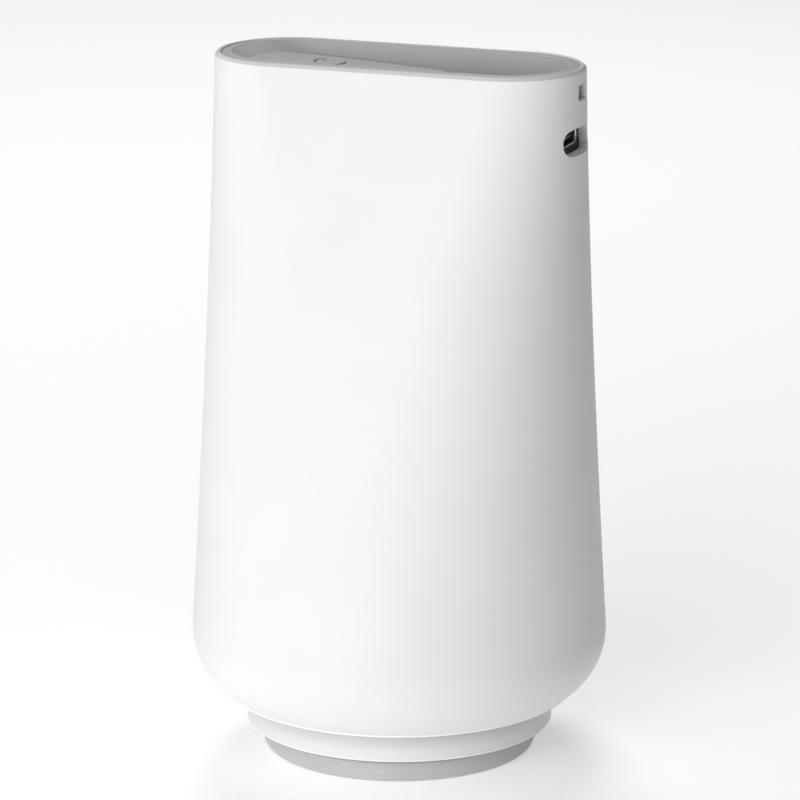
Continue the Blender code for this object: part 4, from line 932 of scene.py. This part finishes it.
def build_bezel():
    """The port's surround, with a recess whose floor has a round edge and a hole for the socket."""
    back_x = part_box("port_bezel")[0].x
    floor_x = back_x + 1.8 * MM
    levels = blend_steps(124 * MM, 138 * MM, 15)
    core = skinned("core", [section(WALL + GAP, z, 192) for z in levels], BEZEL, closed=False)
    block = stadium(PORT_HALF[0] + 0.8 * MM, PORT_HALF[1] + 1.2 * MM, PORT_CENTRE, PORT_POINTS)
    bezel = prism("port_surround", block, back_x, TOP_HALF_LENGTH, BEZEL, "X")
    cut(bezel, core, "INTERSECT")
    recess = stadium(*PORT_HALF, PORT_CENTRE, PORT_POINTS)
    fillet = 0.35 * MM
    rings = []
    for turn in blend_steps(0, pi / 2, 5):
        ring = inward(recess, fillet * (1 - sin(turn)))
        rings.append([(floor_x + fillet * (1 - cos(turn)), u, v) for u, v in ring])
    rings.append([(TOP_HALF_LENGTH + 3 * MM, u, v) for u, v in recess])
    cut(bezel, skinned("recess", rings, BEZEL, closed=False))
    hole = stadium(SOCKET_HALF[0] + 1.0 * MM, SOCKET_HALF[1] + 0.15 * MM, PORT_CENTRE, PORT_POINTS)
    cut(bezel, prism("hole", hole, back_x - 1 * MM, floor_x + 1 * MM, BEZEL, "X"))
    placed(bezel, "housing", "bezel_plastic", "port_bezel")


def build_socket():
    """The socket's metal shell, with a rounded mouth and its inside faces painted dark as shade."""
    low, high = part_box("usb_shell")
    outer = stadium(*SOCKET_HALF, PORT_CENTRE, PORT_POINTS)
    lip = SOCKET_SHEET / 2
    rings = [[(low.x, u, v) for u, v in outer]]
    for turn in blend_steps(0, pi, 9):
        ring = inward(outer, lip * (1 - cos(turn)))
        rings.append([(high.x - lip + lip * sin(turn), u, v) for u, v in ring])
    rings.append([(low.x, u, v) for u, v in inward(outer, SOCKET_SHEET)])
    socket = skinned("socket_shell", rings, SOCKET)
    # the inside faces take the dark copy of the nickel: painted shade
    socket.data.materials.append(SOCKET_PAINTED_SHADE)
    straight = SOCKET_HALF[0] - SOCKET_HALF[1]
    for face in socket.data.polygons:
        away_y = face.center.y - min(max(face.center.y, -straight), straight)
        away_z = face.center.z - PORT_CENTRE[1]
        faces_in = face.normal.y * away_y + face.normal.z * away_z < 0
        if faces_in and face.center.x < high.x - lip:
            face.material_index = 1
    placed(socket, "housing", "steel", "usb_shell")


def build_tongue():
    """The socket's tongue on its root, with a row of contacts on each side."""
    low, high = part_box("usb_tongue")
    half = 0.35 * MM
    outline = rounded_box(3.35 * MM, half, 0.12 * MM, PORT_CENTRE)
    parts = [prism("tongue", outline, low.x, high.x, TONGUE, "X", edge=0.1 * MM)]
    root = stadium(3.8 * MM, 1 * MM, PORT_CENTRE, 48)
    parts.append(prism("root", root, low.x, low.x + 1.6 * MM, TONGUE, "X"))
    for side in (-1, 1):
        for index in range(CONTACTS):
            at = ((index - (CONTACTS - 1) / 2) * CONTACT_PITCH, PORT_CENTRE[1] + side * half)
            pad = rounded_box(0.12 * MM, 0.02 * MM, 0.01 * MM, at, 2)
            parts.append(prism("pad", pad, high.x - 3 * MM, high.x - 0.45 * MM, GOLD, "X"))
    placed(merged("socket_tongue", parts), "housing", "chip_plastic", "usb_tongue")


def build_lens():
    """The light window's milky piece, with softened edges, and its leg."""
    low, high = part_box("indicator_lens")
    outline = rounded_box(WINDOW_HALF[0] - 2 * GAP, WINDOW_HALF[1] - GAP, WINDOW_ROUND, WINDOW_CENTRE)
    lens = prism("window_lens", outline, low.x, high.x, LENS, "X", edge=0.12 * MM)
    leg_half = (WINDOW_CENTRE[1] - low.z) / 2
    leg_outline = rounded_box(1.2 * MM, leg_half, 0.1 * MM, (0, (WINDOW_CENTRE[1] + low.z) / 2))
    cut(lens, prism("leg", leg_outline, low.x, low.x + 0.4 * MM, LENS, "X"), "UNION")
    placed(lens, "housing", "lens_plastic", "indicator_lens")


# ---- base ----


def build_foot():
    """The silicone foot: a disc whose side curves in to the sole, with a shallow ring groove under it."""
    low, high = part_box("foot_pad")
    radius = high.x
    groove_z = low.z + 0.5 * MM
    rim_inner = radius - 3 * MM
    disc_top = 3 * MM
    corners = [
        (0, low.z, 0),
        (20.0 * MM, low.z, 0),
        (20.2 * MM, groove_z, 0.15 * MM),
        (22.8 * MM, groove_z, 0.15 * MM),
        (23.0 * MM, low.z, 0.1 * MM),
        (radius - 0.8 * MM, low.z, 0.3 * MM),
        (radius - 0.25 * MM, 0.5 * MM, 0.4 * MM),
        (radius + 0.05 * MM, 1.2 * MM, 0.5 * MM),
        (radius + 0.25 * MM, 2.0 * MM, 0.5 * MM),
        (radius + 0.4 * MM, high.z, 0.15 * MM),
        (rim_inner, high.z, 0.1 * MM),
        (rim_inner, disc_top, 0),
        (0, disc_top, 0),
    ]
    placed(turned("foot", softened(corners, 6), FOOT), "base", "grey_silicone", "foot_pad")


def build_base_ring():
    """The white base tub: a clean lower edge, a step that carries the inlet ring, and screw bosses."""
    low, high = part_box("base_ring")
    radius = high.x
    step_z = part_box("inlet_grille")[0].z - GAP
    step_radius = radius - BASE_STEP
    inner = radius - 2 * MM
    floor_top = low.z + 2 * MM
    corners = [
        (0, low.z, 0),
        (radius, low.z, 0.3 * MM),
        (radius, step_z, 0.3 * MM),
        (step_radius, step_z, 0.1 * MM),
        (step_radius, high.z, 0.2 * MM),
        (inner, high.z, 0.2 * MM),
        (inner, floor_top, 0.5 * MM),
        (0, floor_top, 0),
    ]
    tub = turned("base_tub", softened(corners, 7), BASE_WHITE)
    boss_low = floor_top - 0.5 * MM
    bore = 1.4 * MM
    profile = [(bore, boss_low), (3.1 * MM, boss_low), (2.9 * MM, high.z), (bore, high.z)]
    bosses = []
    for angle in (30, 150, 270):
        bosses.append(turned("boss", profile, BASE_WHITE, 48, polar(20 * MM, angle)))
    cut(tub, merged("bosses", bosses), "UNION")
    placed(tub, "base", "white_plastic", "base_ring")


def build_inlet_grille():
    """The ring of inlet slots in the gap under the housing."""
    low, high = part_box("inlet_grille")
    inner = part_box("base_ring")[1].x - BASE_STEP + GAP
    outer = high.x
    profile = rounded([(inner, low.z), (outer, low.z), (outer, high.z), (inner, high.z)], 0.2 * MM, 3)
    ring = turned("inlet_ring", profile, BASE_WHITE, 240)
    half_depth = (outer - inner) / 2 - 0.7 * MM
    outline = rounded_box(half_depth, 3.2 * MM, 0.45 * MM, ((outer + inner) / 2, 0), 4)
    slots = []
    for index in range(INLET_SLOTS):
        slot = prism("slot", outline, low.z - 1 * MM, high.z + 1 * MM, BASE_WHITE)
        slot.data.transform(Matrix.Rotation(2 * pi * (index + 0.5) / INLET_SLOTS, 4, "Z"))
        slots.append(slot)
    cut(ring, merged("inlet_slots", slots))
    placed(ring, "base", "white_plastic", "inlet_grille")


# ---- filter, seen when the housing is off ----


def build_filter():
    """Folded paper inside a net tube."""
    low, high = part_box("filter_media")
    crest = high.x
    valley = crest - PLEAT_DEPTH
    outline = []
    inside = []
    for index in range(PLEATS * PLEAT_POINTS):
        wave = (1 + cos(2 * pi * index / PLEAT_POINTS)) / 2
        angle = 360 * index / (PLEATS * PLEAT_POINTS)
        outline.append(polar(valley + PLEAT_DEPTH * wave**PLEAT_SHARPNESS, angle))
        inside.append(polar(FILTER_BORE, angle))
    rings = []
    for row, z in enumerate(blend_steps(low.z, high.z, 10)):
        shrink = 1 - 0.18 * MM * sin(3.1 * row) / crest  # the folds are a little uneven
        rings.append([(u * shrink, v * shrink, z) for u, v in outline])
    rings += [[(u, v, z) for u, v in inside] for z in (high.z, low.z)]
    media = skinned("pleated_paper", rings, PAPER, sharp_degrees=60)
    placed(media, "base", "filter_paper", "filter_media")

    low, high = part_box("prefilter_sleeve")
    net = net_tube("prefilter_net", high.x - 0.35 * MM, low.z, high.z)
    placed(net, "base", "net", "prefilter_sleeve")


def build_filter_caps():
    """The cap below, on its spigot, and the ring-shaped cap above, with a channel for the gasket."""
    low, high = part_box("filter_cap_bottom")
    spigot = 7.0 * MM
    disc_z = low.z + 1.5 * MM
    corners = [
        (0, disc_z, 0),
        (spigot, disc_z, 0.1 * MM),
        (spigot, low.z, 0.15 * MM),
        (high.x, low.z, 0.4 * MM),
        (high.x, high.z, 0.6 * MM),
        (0, high.z, 0),
    ]
    placed(turned("cap_below", softened(corners, 4), PALE), "base", "pale_abs", "filter_cap_bottom")

    low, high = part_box("filter_cap_top")
    inner = 14.5 * MM
    channel_z = high.z - 0.6 * MM
    corners = [
        (inner, low.z, 0.3 * MM),
        (high.x, low.z, 0.4 * MM),
        (high.x, high.z, 0.6 * MM),
        (high.x - 2.4 * MM, high.z, 0.2 * MM),
        (high.x - 2.7 * MM, channel_z, 0.2 * MM),
        (20.0 * MM, channel_z, 0.2 * MM),
        (19.6 * MM, high.z, 0.2 * MM),
        (inner, high.z, 0.4 * MM),
    ]
    cap = turned("cap_above", softened(corners, 4, closed=True), PALE)
    placed(cap, "base", "pale_abs", "filter_cap_top")


def net_tube(name, radius, low, high):
    """A net tube: two families of threads that cross on a slant, and a hem at each end."""
    paths = []
    for direction in (-1, 1):
        for index in range(NET_THREADS):
            path = []
            for row in range(NET_ROWS + 1):
                angle = 360 / NET_THREADS * (index + direction * row / 2)
                wave = 0.12 * MM * direction * cos(pi * row)
                path.append((*polar(radius + wave, angle), low + (high - low) * row / NET_ROWS))
            paths.append((path, False))
    for z in (low + 0.5 * MM, high - 0.5 * MM):
        hem = [(*polar(radius, 360 * index / HEM_POINTS), z) for index in range(HEM_POINTS)]
        paths.append((hem, True))
    curve = bpy.data.curves.new(name, "CURVE")
    curve.dimensions = "3D"
    curve.bevel_depth = THREAD_RADIUS
    curve.bevel_resolution = 1
    for path, cyclic in paths:
        spline = curve.splines.new("POLY")
        spline.use_cyclic_u = cyclic
        spline.points.add(len(path) - 1)
        for point, place in zip(spline.points, path):
            point.co = (*place, 1)
    holder = shown(name + "_threads", curve)
    graph = bpy.context.evaluated_depsgraph_get()
    mesh = bpy.data.meshes.new_from_object(holder.evaluated_get(graph))
    bpy.data.objects.remove(holder, do_unlink=True)
    mesh.name = name
    mesh.materials.clear()
    mesh.materials.append(NET)
    mesh.shade_smooth()
    return shown(name, mesh)


# ---- studio ----


def toward(azimuth, elevation):
    """A unit vector; azimuth 0 is -Y, and grows towards +X."""
    return Vector((sin(azimuth) * cos(elevation), -cos(azimuth) * cos(elevation), sin(elevation)))


def floor_material():
    """Pale studio table that glows a little, as a lit sweep does."""
    made = Finish("studio_floor", (0.92, 0.92, 0.92), 0.9, specular=0.2)
    cloud = made.mapped(made.noise(0.4, 2.0), 0, 1)
    made.colour(made.mixed(cloud, (0.91, 0.91, 0.91), (0.93, 0.93, 0.93)))
    made.set(Emission_Color=(1, 1, 1, 1), Emission_Strength=FLOOR_GLOW)
    return made.material


def build_studio():
    bm = bmesh.new()
    sides = ((-1, -1), (1, -1), (1, 1), (-1, 1))
    bm.faces.new([bm.verts.new((x * FLOOR_HALF, y * FLOOR_HALF, FLOOR_Z)) for x, y in sides])
    floor = linked("floor", bm, floor_material())

    world = bpy.data.worlds.new("studio")
    bpy.context.scene.world = world
    world.use_nodes = True
    background = world.node_tree.nodes["Background"]
    background.inputs["Color"].default_value = (1, 1, 1, 1)
    background.inputs["Strength"].default_value = WORLD_LEVEL

    for name, azimuth, elevation, watts in LIGHTS:
        light = bpy.data.lights.new(name, "AREA")
        light.shape = "DISK"
        light.size = LIGHT_WIDTH
        light.energy = watts
        away = toward(VIEW_AZIMUTH + radians(azimuth), radians(elevation))
        obj = shown(name, light)
        obj.location = Vector((0, 0, AIM_Z)) + away * LIGHT_DISTANCE
        obj.visible_camera = False
        obj.rotation_euler = away.to_track_quat("Z", "Y").to_euler()


def build_camera():
    camera = bpy.data.cameras.new("camera")
    camera.sensor_width = SENSOR
    camera.lens = FOCAL_LENGTH
    camera.clip_start = 0.01
    obj = shown("camera", camera)
    back = toward(VIEW_AZIMUTH, VIEW_ELEVATION)
    right = Vector((cos(VIEW_AZIMUTH), sin(VIEW_AZIMUTH), 0))
    obj.location = Vector((0, 0, AIM_Z)) + right * AIM_SIDE + back * VIEW_DISTANCE
    obj.rotation_euler = back.to_track_quat("Z", "Y").to_euler()
    bpy.context.scene.camera = obj


def main():
    bpy.context.scene.view_settings.view_transform = "Standard"
    build_camera()
    build_studio()
    finish_cad_nodes()
    build_shell()
    build_tray()
    build_outlet_grille()
    build_button()
    build_spring()
    build_bezel()
    build_socket()
    build_tongue()
    build_lens()
    build_foot()
    build_base_ring()
    build_inlet_grille()
    build_filter()
    build_filter_caps()


main()
